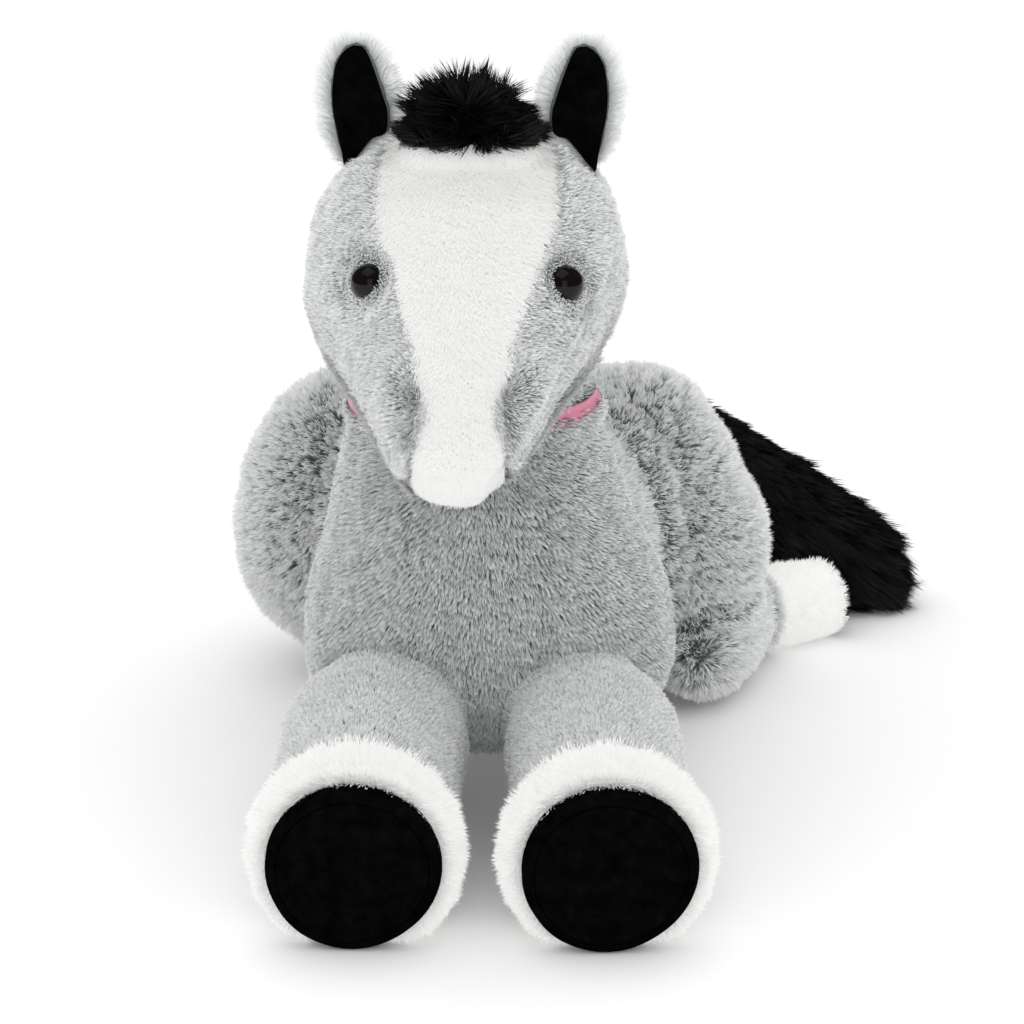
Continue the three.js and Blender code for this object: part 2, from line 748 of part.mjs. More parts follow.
// The leaf, the point and direction of its hinge, and the way that it rises and faces.
function earOn(side) {
  const [along, round] = earRootShares;
  const seat = head.point(along, side < 0 ? round : halfRoundShare - round);
  const root = V(neckOffset + (side * earSpread) / 2, seat.y, seat.z);
  const rise = V(-side * Math.sin(radians(earLean)), 0, Math.cos(radians(earLean)));
  const facing = V(side * Math.sin(radians(earTurnOut)), -Math.cos(radians(earTurnOut)), 0);
  const stations = earShares.map(([level, wide, thick]) => ({
    at: root.clone().addScaledVector(rise, level * (earHeight + earRootRadius) - earRootRadius),
    side: wide * earWidth,
    up: thick * earThickness,
    down: thick * earThickness,
  }));
  const leaf = new Stuffed(stations, { blunt: 4, cup: earCup, heading: facing });
  const hinge = V(side * Math.cos(radians(earSlope)), 0, -Math.sin(radians(earSlope)));
  return { root, rise, facing, leaf, hinge };
}

// The rolled root is a spindle on the hinge, and its seat is swollen by grow.
const spindleShares = [[0, -0.5], [0.7, -0.4], [1, 0], [0.7, 0.4], [0, 0.5]];
function spindle({ root, hinge }, grow) {
  const radius = (earRootRadius + grow) / (grow ? facetShare : 1);
  const profile = spindleShares.map(([r, h]) => [r * radius, h * (earRootLength + 2 * grow)]);
  return turned(profile, ballSides, frameAt(root, hinge));
}

// What an ear sweeps as it folds forwards and back.
const earSweepShares = [-1.05, 0, 1.05];
function earRoom(side) {
  const { root, leaf, hinge } = earOn(side);
  const swollen = leaf.solid(inside, liningWall + 2 * clearance);
  const leaves = earSweepShares.map((share) => swung(swollen, root, hinge, share * earFold));
  return unite(spindle({ root, hinge }, clearance), ...leaves);
}

function ear(label) {
  const { root, rise, facing, leaf, hinge } = earOn(sides[label]);
  const rolled = spindle({ root, hinge }, 0);
  add(`ear_${label}`, `ear_${label}_back`, unite(leaf.solid(inside), rolled), colours.greyPlush);
  const side = sides[label];
  const start = liningStartShare * earHeight;
  const edge = (wide, level) => new THREE.Vector2(wide * side * liningWidth, start + level * liningHeight);
  const points = [
    ...liningShares.map(([level, outer]) => edge(outer, level)),
    ...liningShares.map(([level, , inner]) => edge(-inner, level)).reverse(),
  ];
  const depth = earThickness + 2 * earCup;
  const geometry = new THREE.ExtrudeGeometry(new THREE.Shape(points), { depth, bevelEnabled: false });
  const across = rise.clone().cross(facing).normalize();
  const frame = new THREE.Matrix4().makeBasis(across, rise, across.clone().cross(rise)).setPosition(root);
  const sheet = cut(
    leaf.solid(inside, clearance + liningWall),
    leaf.solid(inside, clearance),
    spindle({ root, hinge }, clearance),
  );
  const lining = sheet.intersect(solidOf(geometry.applyMatrix4(frame)));
  add(`ear_${label}`, `ear_${label}_lining`, lining, colours.blackVelour);
}

const earRooms = Object.values(sides).map(earRoom);

function headPieces() {
  const labels = Object.keys(sides);
  const rooms = labels.map(eyeRooms);
  const seats = [neckSeat, ribbonSweep, ...earRooms];
  const shell = cut(head.cover(skull), ...seats, ...rooms.map((room) => room.inCover));
  add('head', 'head_cover', cut(shell, blazeRoom(clearance)), colours.greyPlush);
  add('head', 'face_blaze', shell.intersect(blazeRoom(0)), colours.whitePlush);
  const stuffing = cut(head.filling(), ...seats, ...rooms.map((room) => room.inStuffing));
  add('head', 'head_stuffing', stuffing, colours.stuffing);
  labels.forEach(eye);
}

// Forelock: a tuft of long pile on the crown
const crown = head.point(0.2, 0.25);
const forelockShares = [-0.5, -0.15, 0.15, 0.5];
const tuftRiseShare = 0.1; // shares of its depth and height, forwards and up from the crown
const forelock = new Stuffed(
  forelockShares.map((share) => ({
    at: V(share * forelockWidth, -tuftRiseShare * forelockDepth, tuftRiseShare * forelockHeight).add(crown),
    side: forelockDepth / 2,
    up: forelockHeight / 2,
    down: forelockHeight / 2,
  })),
  { blunt: 2.4 },
);

// Mane: the upper part is sewn to the head and the lower part to the neck
function maneAlong(places) {
  const half = { side: maneWidth / 2, up: maneHeight / 2, down: maneHeight / 2 };
  const stations = places.map((at) => ({ at, ...half }));
  return new Stuffed(stations, { blunt: 3.5, heading: V(0, 1, 0) });
}
const upperManeShares = [
  [0.2, 0.25],
  [0.1, 0.25],
  [0.03, 0.25],
  [0.01, 0.75],
  [0.045, 0.75],
];
const lowerManeShares = [0.56, 0.15, -0.25, -0.6];

function hair() {
  const pile = colours.blackPile;
  const onHead = [headSeat, neckSeat, ...earRooms];
  add('head', 'forelock', cut(forelock.solid(inside), ...onHead), pile);
  const upper = maneAlong(upperManeShares.map(([along, round]) => head.point(along, round)));
  add('head', 'mane_upper', cut(upper.solid(small), ...onHead, forelock.solid(inside, clearance)), pile);
  const lower = maneAlong(
    lowerManeShares.map((level) => {
      const behind = Math.sqrt(1 - Math.max(level, 0) ** 2);
      return neck.clone().add(V(0, behind * neckBall, level * neckBall));
    }),
  );
  const onNeck = [chestSeat, ribbonRoom, trunkSeat, headSeat, upper.solid(small, maneGap)];
  add('torso', 'mane_lower', cut(lower.solid(small), ...onNeck), pile);
}

torso();
hindLegs();
headPieces();
hair();
for (const label of Object.keys(sides)) {
  frontLeg(label);
  ear(label);
}
const tailPile = unite(rested(tail.solid(tailCounts)), ball(tailRoot, tailRootDiameter / 2));
add('tail', 'tail_pile', tailPile, colours.blackPile);

export default toy;
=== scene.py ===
import json
import math

import bmesh
import bpy
import numpy as np
from bpy.props import FloatProperty, FloatVectorProperty, IntProperty, PointerProperty
from bpy.types import Operator, Panel, PropertyGroup
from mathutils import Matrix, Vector
from mathutils.bvhtree import BVHTree


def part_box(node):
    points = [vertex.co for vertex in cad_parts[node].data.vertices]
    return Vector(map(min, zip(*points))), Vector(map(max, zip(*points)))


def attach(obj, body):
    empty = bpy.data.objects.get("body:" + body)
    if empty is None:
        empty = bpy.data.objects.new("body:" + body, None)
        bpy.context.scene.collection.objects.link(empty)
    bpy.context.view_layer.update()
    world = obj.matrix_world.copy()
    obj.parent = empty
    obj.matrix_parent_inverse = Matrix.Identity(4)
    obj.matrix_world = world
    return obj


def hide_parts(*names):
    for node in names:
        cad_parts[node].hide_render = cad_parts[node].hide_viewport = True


bl_info = {
    "name": "Lying plush horse",
    "version": (1, 0, 0),
    "blender": (4, 5, 0),
    "location": "3D View > Sidebar > Horse",
    "description": "Dresses the packed horse with backings, pile, hooves, eyes, a ribbon and a studio",
    "category": "Object",
}

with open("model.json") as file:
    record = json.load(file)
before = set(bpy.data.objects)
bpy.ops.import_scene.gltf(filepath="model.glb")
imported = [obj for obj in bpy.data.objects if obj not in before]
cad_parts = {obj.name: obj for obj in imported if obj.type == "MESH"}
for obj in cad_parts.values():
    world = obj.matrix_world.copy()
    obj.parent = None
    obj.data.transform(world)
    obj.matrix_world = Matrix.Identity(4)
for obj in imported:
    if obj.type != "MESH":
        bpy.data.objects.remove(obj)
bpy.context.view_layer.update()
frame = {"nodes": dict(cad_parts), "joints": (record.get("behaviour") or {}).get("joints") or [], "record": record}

MM = 0.001
BODY_OF = {node: body for body, nodes in frame["record"]["behaviour"]["bodies"].items() for node in nodes}
JOINT_AT = {joint["name"]: Vector(joint["pos_m"]) for joint in frame["joints"]}
SIDES = {"left": -1, "right": 1}
UP = np.array([0.0, 0.0, 1.0])
SIDEWAYS = np.array([1.0, 0.0, 0.0])
INNER = ("_stuffing", "_washer")
PER_SQUARE_MM = 1e6
# how far a neighbour is looked for
NEIGHBOUR_REACH = 0.03


# Sizes and colours that a user would change


def size(name, default, description):
    """A length in millimetres as a property."""
    return FloatProperty(name=name, description=description, default=default * MM, unit="LENGTH", precision=4)


def share(name, default, description):
    return FloatProperty(name=name, description=description, default=default, min=0.0, subtype="FACTOR")


def tint(name, default, description):
    return FloatVectorProperty(name=name, description=description, default=default, size=3, subtype="COLOR")


def power(name, default, description):
    return FloatProperty(name=name, description=description, default=default, unit="POWER")


class HorsePile(PropertyGroup):
    """How long and how dense the pile of each fabric is."""

    chest: size("Chest pile", 10.0, "Length of the lying pile on chest and neck")
    leg: size("Leg pile", 7.0, "Length of the pile on the front legs")
    trunk: size("Trunk pile", 11.0, "Length of the pile of the trunk")
    haunch: size("Haunch pile", 11.0, "Length of the standing pile of the haunches")
    face: size("Face pile", 8.5, "Length of the grey pile on the head")
    blaze: size("Blaze pile", 6.5, "Length of the white pile down the face")
    ear: size("Ear fringe", 13.0, "Length of the pile on the back and rim of the ears")
    sock: size("Sock pile", 12.0, "Length of the white pile of the socks")
    hair: size("Forelock hair", 28.0, "Length of the strands of the forelock")
    mane: size("Mane hair", 19.0, "Length of the strands of the mane")
    tail: size("Tail hair", 17.0, "Length of the strands of the tail")
    fullness: FloatProperty(
        name="Fullness", description="Multiplies the number of strands", default=1.0, min=0.05, max=2.0
    )
    seed: IntProperty(name="Seed", description="Starts every random draw", default=7, min=0)


class HorseColours(PropertyGroup):
    """Dyes of the fabrics and colours of the trim."""

    root: tint("Grey root", (0.115, 0.13, 0.134), "Foot of a frosted grey strand")
    middle: tint("Grey middle", (0.37, 0.395, 0.395), "Middle of a frosted grey strand")
    tip: tint("Grey tip", (0.87, 0.88, 0.87), "Pale tip of a frosted grey strand")
    white: tint("White pile", (0.83, 0.83, 0.822), "Blaze and socks")
    black: tint("Black pile", (0.004, 0.004, 0.0045), "Forelock, mane and tail")
    velour: tint("Black velour", (0.0022, 0.0022, 0.0024), "Hooves and ear linings")
    ribbon: tint("Ribbon", (0.72, 0.25, 0.36), "Ribbon round the neck")
    eye: tint("Eye", (0.004, 0.003, 0.0025), "Moulded eyes")


class HorseStudio(PropertyGroup):
    """Light and floor round the toy."""

    sky: share("Sky", 1.08, "Strength of the even white light")
    mirrored: share("Mirrored sky", 0.08, "Share of the sky that glossy surfaces mirror")
    key: power("Key light", 3.3, "Power of the light overhead")
    front: power("Front light", 3.35, "Power of the front light")
    floor: tint("Floor", (0.95, 0.95, 0.95), "Seamless pale floor")


# Node trees


def both_ways(operation):
    """The methods of an operator and of its reflected form."""

    def plain(wire, other):
        return wire.maths(operation, other)

    def reflected(wire, other):
        return wire.maths(operation, other, flip=True)

    return plain, reflected


class Wire:
    """An output socket that Python operators work on, through Math and Vector Math nodes."""

    def __init__(self, graph, socket):
        self.graph = graph
        self.socket = socket

    def maths(self, operation, other, flip=False):
        terms = [other, self] if flip else [self, other]
        wide = ("VECTOR", "RGBA")
        vector = any(isinstance(t, tuple) or (isinstance(t, Wire) and t.socket.type in wide) for t in terms)
        kind = "ShaderNodeVectorMath" if vector else "ShaderNodeMath"
        if vector:
            terms = [(t,) * 3 if isinstance(t, (int, float)) else t for t in terms]
        return self.graph.node(kind, {"operation": operation}, dict(enumerate(terms)))

    __add__, __radd__ = both_ways("ADD")
    __sub__, __rsub__ = both_ways("SUBTRACT")
    __mul__, __rmul__ = both_ways("MULTIPLY")
    __truediv__, __rtruediv__ = both_ways("DIVIDE")
    __pow__, __rpow__ = both_ways("POWER")

    def axis(self, which):
        """One of the three numbers of a vector."""
        return self.graph.node("ShaderNodeSeparateXYZ", {}, {"Vector": self}, which)


class Graph:
    """A node tree to which nodes are added in one way."""

    def __init__(self, tree):
        self.tree = tree

    def node(self, kind, settings, inputs, output=0):
        """Adds a node: its settings are set first, then its sockets' values or links."""
        made = self.tree.nodes.new(kind)
        for key, value in settings.items():
            if key == "stops":
                ramp = made.color_ramp
                while len(ramp.elements) < len(value):
                    ramp.elements.new(1.0)
                for element, (place, colour) in zip(ramp.elements, value):
                    element.position = place
                    element.color = (*colour, 1.0)
            else:
                setattr(made, key, value)
        for key, value in inputs.items():
            if isinstance(key, int):
                socket = made.inputs[key]
            else:
                socket = next(s for s in made.inputs if s.enabled and s.name == key)
            if isinstance(value, Wire):
                self.tree.links.new(value.socket, socket)
            else:
                socket.default_value = value
        shown = [s for s in made.outputs if s.enabled]
        if not shown:
            return None
        return Wire(self, shown[output] if isinstance(output, int) else made.outputs[output])

    def place(self):
        """Object coordinates."""
        return self.node("ShaderNodeTexCoord", {}, {}, "Object")

    def noise(self, scale, detail=3.0, rough=0.55):
        values = {"Vector": self.place(), "Scale": scale, "Detail": detail, "Roughness": rough}
        return self.node("ShaderNodeTexNoise", {}, values)

    def bump(self, strength, distance, height):
        values = {"Strength": strength, "Distance": distance, "Height": height}
        return self.node("ShaderNodeBump", {}, values)


def finish_of(name, paint):
    """A material whose paint(graph) gives the values of the Principled sockets."""
    name = "made_" + name
    material = bpy.data.materials.get(name)
    if material:
        return material
    material = bpy.data.materials.new(name)
    material.use_nodes = True
    material.node_tree.nodes.clear()
    graph = Graph(material.node_tree)
    shader = graph.node("ShaderNodeBsdfPrincipled", {}, paint(graph))
    graph.node("ShaderNodeOutputMaterial", {}, {"Surface": shader})
    return material


def colours():
    return bpy.context.scene.horse_colours


def strand_finish(name, stops, spread, variation, painted_glow=0.0, rough=0.8, gloss=0.15):
    """Pile: the colour runs from root to tip, and each strand has its own shade.

    Its emission is painted light: the pile shines in its own colour to fill its shade, in place of the light
    through the fibres."""

    def paint(graph):
        place = graph.node("ShaderNodeUVMap", {"uv_map": "OFBake"}, {})
        shade = place.axis(0) - 0.5
        along = place.axis(1) + shade * spread
        colour = graph.node("ShaderNodeValToRGB", {"stops": stops}, {"Fac": along})
        colour = colour * (1.0 + shade * variation)
        return {
            "Base Color": colour,
            "Roughness": rough,
            "Specular IOR Level": gloss,
            # painted light: the pile shines in its own colour, which lifts its shade
            "Emission Color": colour,
            "Emission Strength": painted_glow,
        }

    return finish_of(name, paint)


# copies of the one frosted grey by part: the chest darker, face and legs flatter, trunk, haunches and ears paler,
# partly the pile's own look and partly painted light and shade
GREYS = {
    # shade of the root, lift of all but the tip towards it, frost that lengthens the tip, shade of the tip
    "chest": (0.4, 0.0, -0.12, 1.0),
    "trunk": (1.4, 0.3, 0.16, 1.0),
    "haunch": (1.4, 0.3, 0.16, 1.0),
    "face": (1.5, 0.08, 0.0, 0.92),
    "leg": (1.9, 0.12, -0.04, 0.87),
    "ear": (1.6, 0.7, 0.15, 1.0),
}


def grey_finish(kind):
    """Frosted grey pile, whose tones by part are partly its own look and partly painted light and shade."""
    c = colours()
    depth, lift, frost, top = GREYS[kind]
    root, middle, tip = (Vector(v) for v in (c.root, c.middle, c.tip))
    tip = tip * top
    root = (root * depth).lerp(tip, lift)
    middle = middle.lerp(tip, lift)
    stops = [(0.0, root), (0.28 - frost * 0.5, root), (0.58 - frost, middle), (0.88 - frost, tip), (1.0, tip)]
    name = f"frosted_pile_{depth:.2f}_{lift:.2f}_{frost:.2f}_{top:.2f}"
    return strand_finish(name, stops, spread=0.3, variation=0.2, painted_glow=0.04)


# the white pile dimmed by its shade as painted shade, the blaze more than the socks, and lifted again by its
# painted glow
def white_finish(shade=0.9):
    base = Vector(colours().white) * shade
    stops = [(0.0, base), (1.0, base)]
    return strand_finish(f"white_pile_{shade:.2f}", stops, spread=0.2, variation=0.03, painted_glow=0.3)


def black_finish():
    base = Vector(colours().black)
    stops = [(0.0, base * 0.5), (0.6, base), (1.0, base * 1.8)]
    return strand_finish("black_pile", stops, spread=0.3, variation=0.7, rough=0.45, gloss=0.22)


WHITE_KNIT = (0.85, 0.85, 0.84)


def backing_finish(dye):
    """Knitted backing under the pile: grey like its roots, white or black."""
    colour = {"grey": colours().root, "white": WHITE_KNIT, "black": colours().black}[dye]

    def paint(graph):
        shades = {"Factor": graph.noise(120.0), "A": (*[v * 0.7 for v in colour], 1.0), "B": (*colour, 1.0)}
        return {
            "Base Color": graph.node("ShaderNodeMix", {"data_type": "RGBA"}, shades),
            "Roughness": 0.9,
            "Normal": graph.bump(0.5, 0.4 * MM, graph.noise(900.0, 1.0)),
        }

    return finish_of(dye + "_backing", paint)


def velour_finish():
    """Short black velour: fine nap that is brushed here and there."""

    def paint(graph):
        brushed = graph.noise(130.0, 5.0, 0.65)
        nap = graph.noise(1800.0, 2.0)
        level = (brushed * 1.95) ** 1.6 * (0.6 + nap * 0.8)
        return {
            "Base Color": level * tuple(colours().velour),
            "Roughness": 0.8 + nap * 0.15,
            "Specular IOR Level": 0.0,
            "Normal": graph.bump(0.5, 0.3 * MM, nap + brushed),
        }

    return finish_of("black_velour", paint)


# Meshes


def linked(name, mesh):
    thing = bpy.data.objects.new(name, mesh)
    bpy.context.scene.collection.objects.link(thing)
    return thing


def mesh_of(name, points, faces):
    mesh = bpy.data.meshes.new(name)
    mesh.from_pydata([tuple(p) for p in points], [], [tuple(f) for f in faces])
    mesh.update()
    mesh.shade_smooth()
    return mesh


def settled(thing):
    """The evaluated mesh of an object, whose modifiers are then gone."""
    graph = bpy.context.evaluated_depsgraph_get()
    mesh = bpy.data.meshes.new_from_object(thing.evaluated_get(graph), depsgraph=graph)
    thing.modifiers.clear()
    old = thing.data
    thing.data = mesh
    bpy.data.meshes.remove(old)
    return mesh


def smoothstep(values, low, high):
    t = np.clip((values - low) / (high - low), 0.0, 1.0)
    return t * t * (3.0 - 2.0 * t)


def unit(vectors):
    return vectors / np.maximum(np.linalg.norm(vectors, axis=1, keepdims=True), 1e-9)


def between(values, low, risen, falling, high):
    return smoothstep(values, low, risen) * (1.0 - smoothstep(values, falling, high))


def points_in(mesh):
    points = np.zeros(len(mesh.vertices) * 3)
    mesh.vertices.foreach_get("co", points)
    return points.reshape(-1, 3)


def solid_points(node):
    """The different corner points of a CAD solid."""
    return np.unique(np.round(points_in(frame["nodes"][node].data), 7), axis=0)


def tree_over(points, faces):
    """A search tree over a surface."""
    return BVHTree.FromPolygons([Vector(p) for p in points], [list(f) for f in faces])


def tree_of(nodes):
    """A search tree over the CAD solids of some nodes."""
    points, faces = [], []
    for node in nodes:
        mesh = frame["nodes"][node].data
        base = len(points)
        points += [v.co for v in mesh.vertices]
        faces += [[base + i for i in p.vertices] for p in mesh.polygons]
    return tree_over(points, faces)


def distances(tree, points):
    return np.array([tree.find_nearest(Vector(p))[3] for p in points])


def quads(rows, count, closed=True):
    """The faces between rows of points, each row with count points and closed to a ring or open."""
    faces = []
    for i in range(rows):
        for j in range(count if closed else count - 1):
            k = (j + 1) % count
            faces.append((i * count + j, i * count + k, (i + 1) * count + k, (i + 1) * count + j))
    return faces


def turned_out(mesh, ends=False):
    """Points the faces outwards, after merging doubles and closing the ends if asked."""
    work = bmesh.new()
    work.from_mesh(mesh)
    if ends:
        bmesh.ops.remove_doubles(work, verts=work.verts, dist=1e-6)
        bmesh.ops.holes_fill(work, edges=[e for e in work.edges if e.is_boundary], sides=0)
    bmesh.ops.recalc_face_normals(work, faces=work.faces)
    work.to_mesh(mesh)
    work.free()
    mesh.shade_smooth()


def walled(piece, thickness):
    """Gives a leaf its thickness, half of it to each side."""
    wall = piece.modifiers.new("Wall", "SOLIDIFY")
    wall.thickness = thickness
    wall.offset = 0.0
    settled(piece)


def lathe(name, profile, count, centre, along, wrinkle=0.0):
    """A piece turned about a line, from a profile of (radius, height) in millimetres, which is rounded."""
    line = np.array(profile, float)
    for _ in range(2):
        middle = (line[:-1] + line[1:]) / 2
        cut = np.empty((len(line) + len(middle), 2))
        cut[0::2] = line
        cut[1::2] = middle
        cut[1:-1] = 0.25 * cut[:-2] + 0.5 * cut[1:-1] + 0.25 * cut[2:]
        line = cut
    across = np.cross(UP, along)
    across /= np.linalg.norm(across)
    top = np.cross(along, across)
    points = []
    for radius, height in line:
        for j in range(count):
            angle = 2 * math.pi * j / count
            dent = math.sin(2 * angle + 0.6) + 0.7 * math.sin(3 * angle + 1.0)
            dent = dent + 0.25 * math.sin(7 * angle + height)
            r = (radius + wrinkle * dent * min(1.0, radius / 30.0)) * MM
            spoke = across * math.cos(angle) + top * math.sin(angle)
            points.append(centre + along * height * MM + spoke * r)
    points = np.array(points)
    points[:, 2] = np.maximum(points[:, 2], 0.3 * MM)
    mesh = mesh_of(name, points, quads(len(line) - 1, count))
    turned_out(mesh, ends=True)
    return linked(name, mesh)


def finished(piece, node, finish):
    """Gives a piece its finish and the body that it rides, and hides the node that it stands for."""
    piece.data.materials.append(finish)
    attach(piece, BODY_OF[node])
    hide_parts(node)


class Backing:
    """The closed backing of a sewn part, made from its CAD solids, on which the pile grows."""

    def __init__(self, name, nodes, cell, rounds):
        self.name = name
        self.nodes = nodes
        self.body = BODY_OF[nodes[0]]
        work = bmesh.new()
        for node in nodes:
            work.from_mesh(frame["nodes"][node].data)
        bmesh.ops.remove_doubles(work, verts=work.verts, dist=1e-6)
        rough = bpy.data.meshes.new(name)
        work.to_mesh(rough)
        work.free()
        self.thing = linked(name + "_backing", rough)
        cells = self.thing.modifiers.new("Cells", "REMESH")
        cells.mode = "VOXEL"
        cells.voxel_size = cell
        mesh = settled(self.thing)
        self.count = len(mesh.vertices)
        self.faces = np.zeros(len(mesh.polygons) * 4, int)
        mesh.polygons.foreach_get("vertices", self.faces)
        self.faces = self.faces.reshape(-1, 4)
        self.points = points_in(mesh)
        self.near = self.neighbours()
        self.soften(rounds)

    def neighbours(self):
        """For each point, its neighbours along the edges, padded with the point itself."""
        pairs = np.concatenate([self.faces[:, [i, (i + 1) % 4]] for i in range(4)])
        pairs = np.unique(np.concatenate([pairs, pairs[:, ::-1]]), axis=0)
        order = np.arange(len(pairs)) - np.searchsorted(pairs[:, 0], pairs[:, 0])
        table = np.repeat(np.arange(self.count)[:, None], order.max() + 1, axis=1)
        table[pairs[:, 0], order] = pairs[:, 1]
        return table

    def spread(self, values, rounds):
        for _ in range(rounds):
            values = 0.5 * values + 0.5 * values[self.near].mean(axis=1)
        return values

    def soften(self, rounds):
        """Smooths the facets away and puts back the volume that this takes."""
        smooth = self.spread(self.points, rounds)
        lost = ((self.points - smooth) * self.normals(smooth)).sum(axis=1, keepdims=True)
        self.points = smooth + self.normals(smooth) * self.spread(lost, rounds)

    def normals(self, points=None):
        p = self.points if points is None else points
        a, b, c, d = (p[self.faces[:, i]] for i in range(4))
        across = np.cross(c - a, d - b)
        total = np.zeros_like(p)
        for i in range(4):
            np.add.at(total, self.faces[:, i], across)
        return unit(total)

    def measure(self, others):
        """Distance from each point to the nearest solid of its neighbours, and the way off it."""
        tree = tree_of(others)
        self.gap = np.full(self.count, 1.0)
        self.off = np.zeros((self.count, 3))
        for i, point in enumerate(self.points):
            spot, _, _, distance = tree.find_nearest(Vector(point), NEIGHBOUR_REACH)
            if spot is not None:
                self.gap[i] = distance
                self.off[i] = point - np.array(spot)
        self.off = unit(self.off)

    def inset(self, depth, margin):
        """Draws the free surface in, because the solids include the pile."""
        free = smoothstep(self.gap, 0.5 * MM, margin)
        self.points = self.points - self.normals() * (depth * free)[:, None]
        self.points = self.spread(self.points, 3)

    def rest(self, height):
        self.points[:, 2] = np.maximum(self.points[:, 2], height)

    def beside_ribbon(self):
        """No pile under the ribbon or just above it, where it would hang over the ribbon."""
        if self.name != "chest":
            return 1.0
        low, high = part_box("neck_ribbon")
        level = self.points[:, 2]
        start = low.z + np.where(self.points[:, 0] < 0, 0.4 * MM, 2.0 * MM)
        return 1.0 - between(level, start, start + 2 * MM, high.z + 2 * MM, high.z + 5 * MM)

    def close(self, finish, slot):
        mesh = self.thing.data
        mesh.vertices.foreach_set("co", self.points.ravel())
        mesh.shade_smooth()
        mesh.update()
        mesh.materials.clear()
        mesh.materials.append(finish)
        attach(self.thing, self.body)
        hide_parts(*self.nodes)


# Pile

# the angle from one strand of a tuft to the next
GOLDEN_TURN = 2.4
# strands of a tuft, levels of a strand as (share of its length, half of its width), spread of the tips
TUFTS = {
    "close_tuft": (3, [], 0.55),
    "open_tuft": (3, [], 1.2),
    "long_tuft": (4, [(0.0, 0.3), (0.5, 0.42)], 0.12),
}


def strands(name, count, levels, spread):
    """A tuft of unit strands: each rises along Z, and its UV map holds its shade and root to tip.

    X is in widths and the rest in lengths, so that one tuft serves every pile. Without levels, a
    strand is one triangle that is widest near its tip, which covers most with the fewest faces."""
    points, faces, chart = [], [], []
    for k in range(count):
        turn, out = GOLDEN_TURN * k, math.sqrt((k + 0.3) / count)
        foot = (3.0 * out * math.cos(turn), 0.05 * out * math.sin(turn))
        lean = (spread * 6.0 * out * math.cos(turn + 0.9), spread * 0.16 * out * math.sin(turn + 0.9))
        tall = 1.0 - 0.22 * ((k * 0.618) % 1.0)
        shade = (k + 0.5) / count - 0.5
        base = len(points)
        if not levels:
            blunt = 0.82
            points.append((foot[0], foot[1], 0.0))
            points.append((foot[0] + lean[0] * blunt - 0.5, foot[1] + lean[1] * blunt, blunt * tall))
            points.append((foot[0] + lean[0] + 0.35, foot[1] + lean[1], tall))
            faces.append((base, base + 1, base + 2))
            chart += [(shade - 0.01, 0.0), (shade + 0.01, blunt), (shade, 1.0)]
            continue
        for level, half in levels:
            x = foot[0] + lean[0] * level * level
            y = foot[1] + lean[1] * level * level + 0.3 * level * (1.0 - level)
            points += [(x - half, y, level * tall), (x + half, y, level * tall)]
            chart += [(shade - 0.01, level), (shade + 0.01, level)]
        points.append((foot[0] + lean[0], foot[1] + lean[1], tall))
        chart.append((shade, 1.0))
        for i in range(len(levels) - 1):
            a = base + 2 * i
            faces += [(a, a + 1, a + 3), (a, a + 3, a + 2)]
        last = len(points) - 1
        faces.append((last - 2, last - 1, last))
    mesh = mesh_of(name, points, faces)
    layer = mesh.uv_layers.new(name="OFBake")
    for loop in mesh.loops:
        layer.data[loop.index].uv = chart[loop.vertex_index]
    linked(name, mesh).hide_render = True


TRAITS = ("Density", "Width", "Tangle", "Clump Size", "Clump Pull", "Clump Lean", "Twist", "Ragged")
KINDS = {
    # tuft, tufts per square millimetre, width in mm, tangle, clump size in mm, clump pull, clump lean, twist,
    # raggedness
    "chest": ("close_tuft", 1.15, 0.44, 0.08, 1.6, 0.7, 0.12, 0.2, 0.15),
    "haunch": ("close_tuft", 1.0, 0.56, 0.08, 2.7, 0.95, 0.24, 0.5, 0.2),
    "trunk": ("close_tuft", 0.66, 0.68, 0.08, 2.8, 0.85, 0.2, 0.5, 0.2),
    "face": ("close_tuft", 1.5, 0.45, 0.08, 2.0, 0.45, 0.12, 0.3, 0.15),
    "blaze": ("open_tuft", 1.7, 0.6, 0.1, 3.0, 0.1, 0.04, 0.1, 0.1),
    "leg": ("close_tuft", 1.0, 0.5, 0.08, 2.0, 0.3, 0.1, 0.3, 0.15),
    "ear": ("open_tuft", 1.6, 0.42, 0.14, 2.2, 0.5, 0.16, 0.6, 0.3),
    "sock": ("open_tuft", 1.8, 0.42, 0.14, 3.0, 0.1, 0.08, 0.3, 0.2),
    "hair": ("long_tuft", 0.9, 0.8, 0.02, 10.0, 1.2, 0.45, 0.8, 0.45),
    "mane": ("long_tuft", 0.8, 0.9, 0.1, 7.0, 0.9, 0.3, 0.8, 0.3),
    "tail": ("long_tuft", 0.42, 1.1, 0.08, 5.0, 0.8, 0.16, 0.8, 0.3),
}


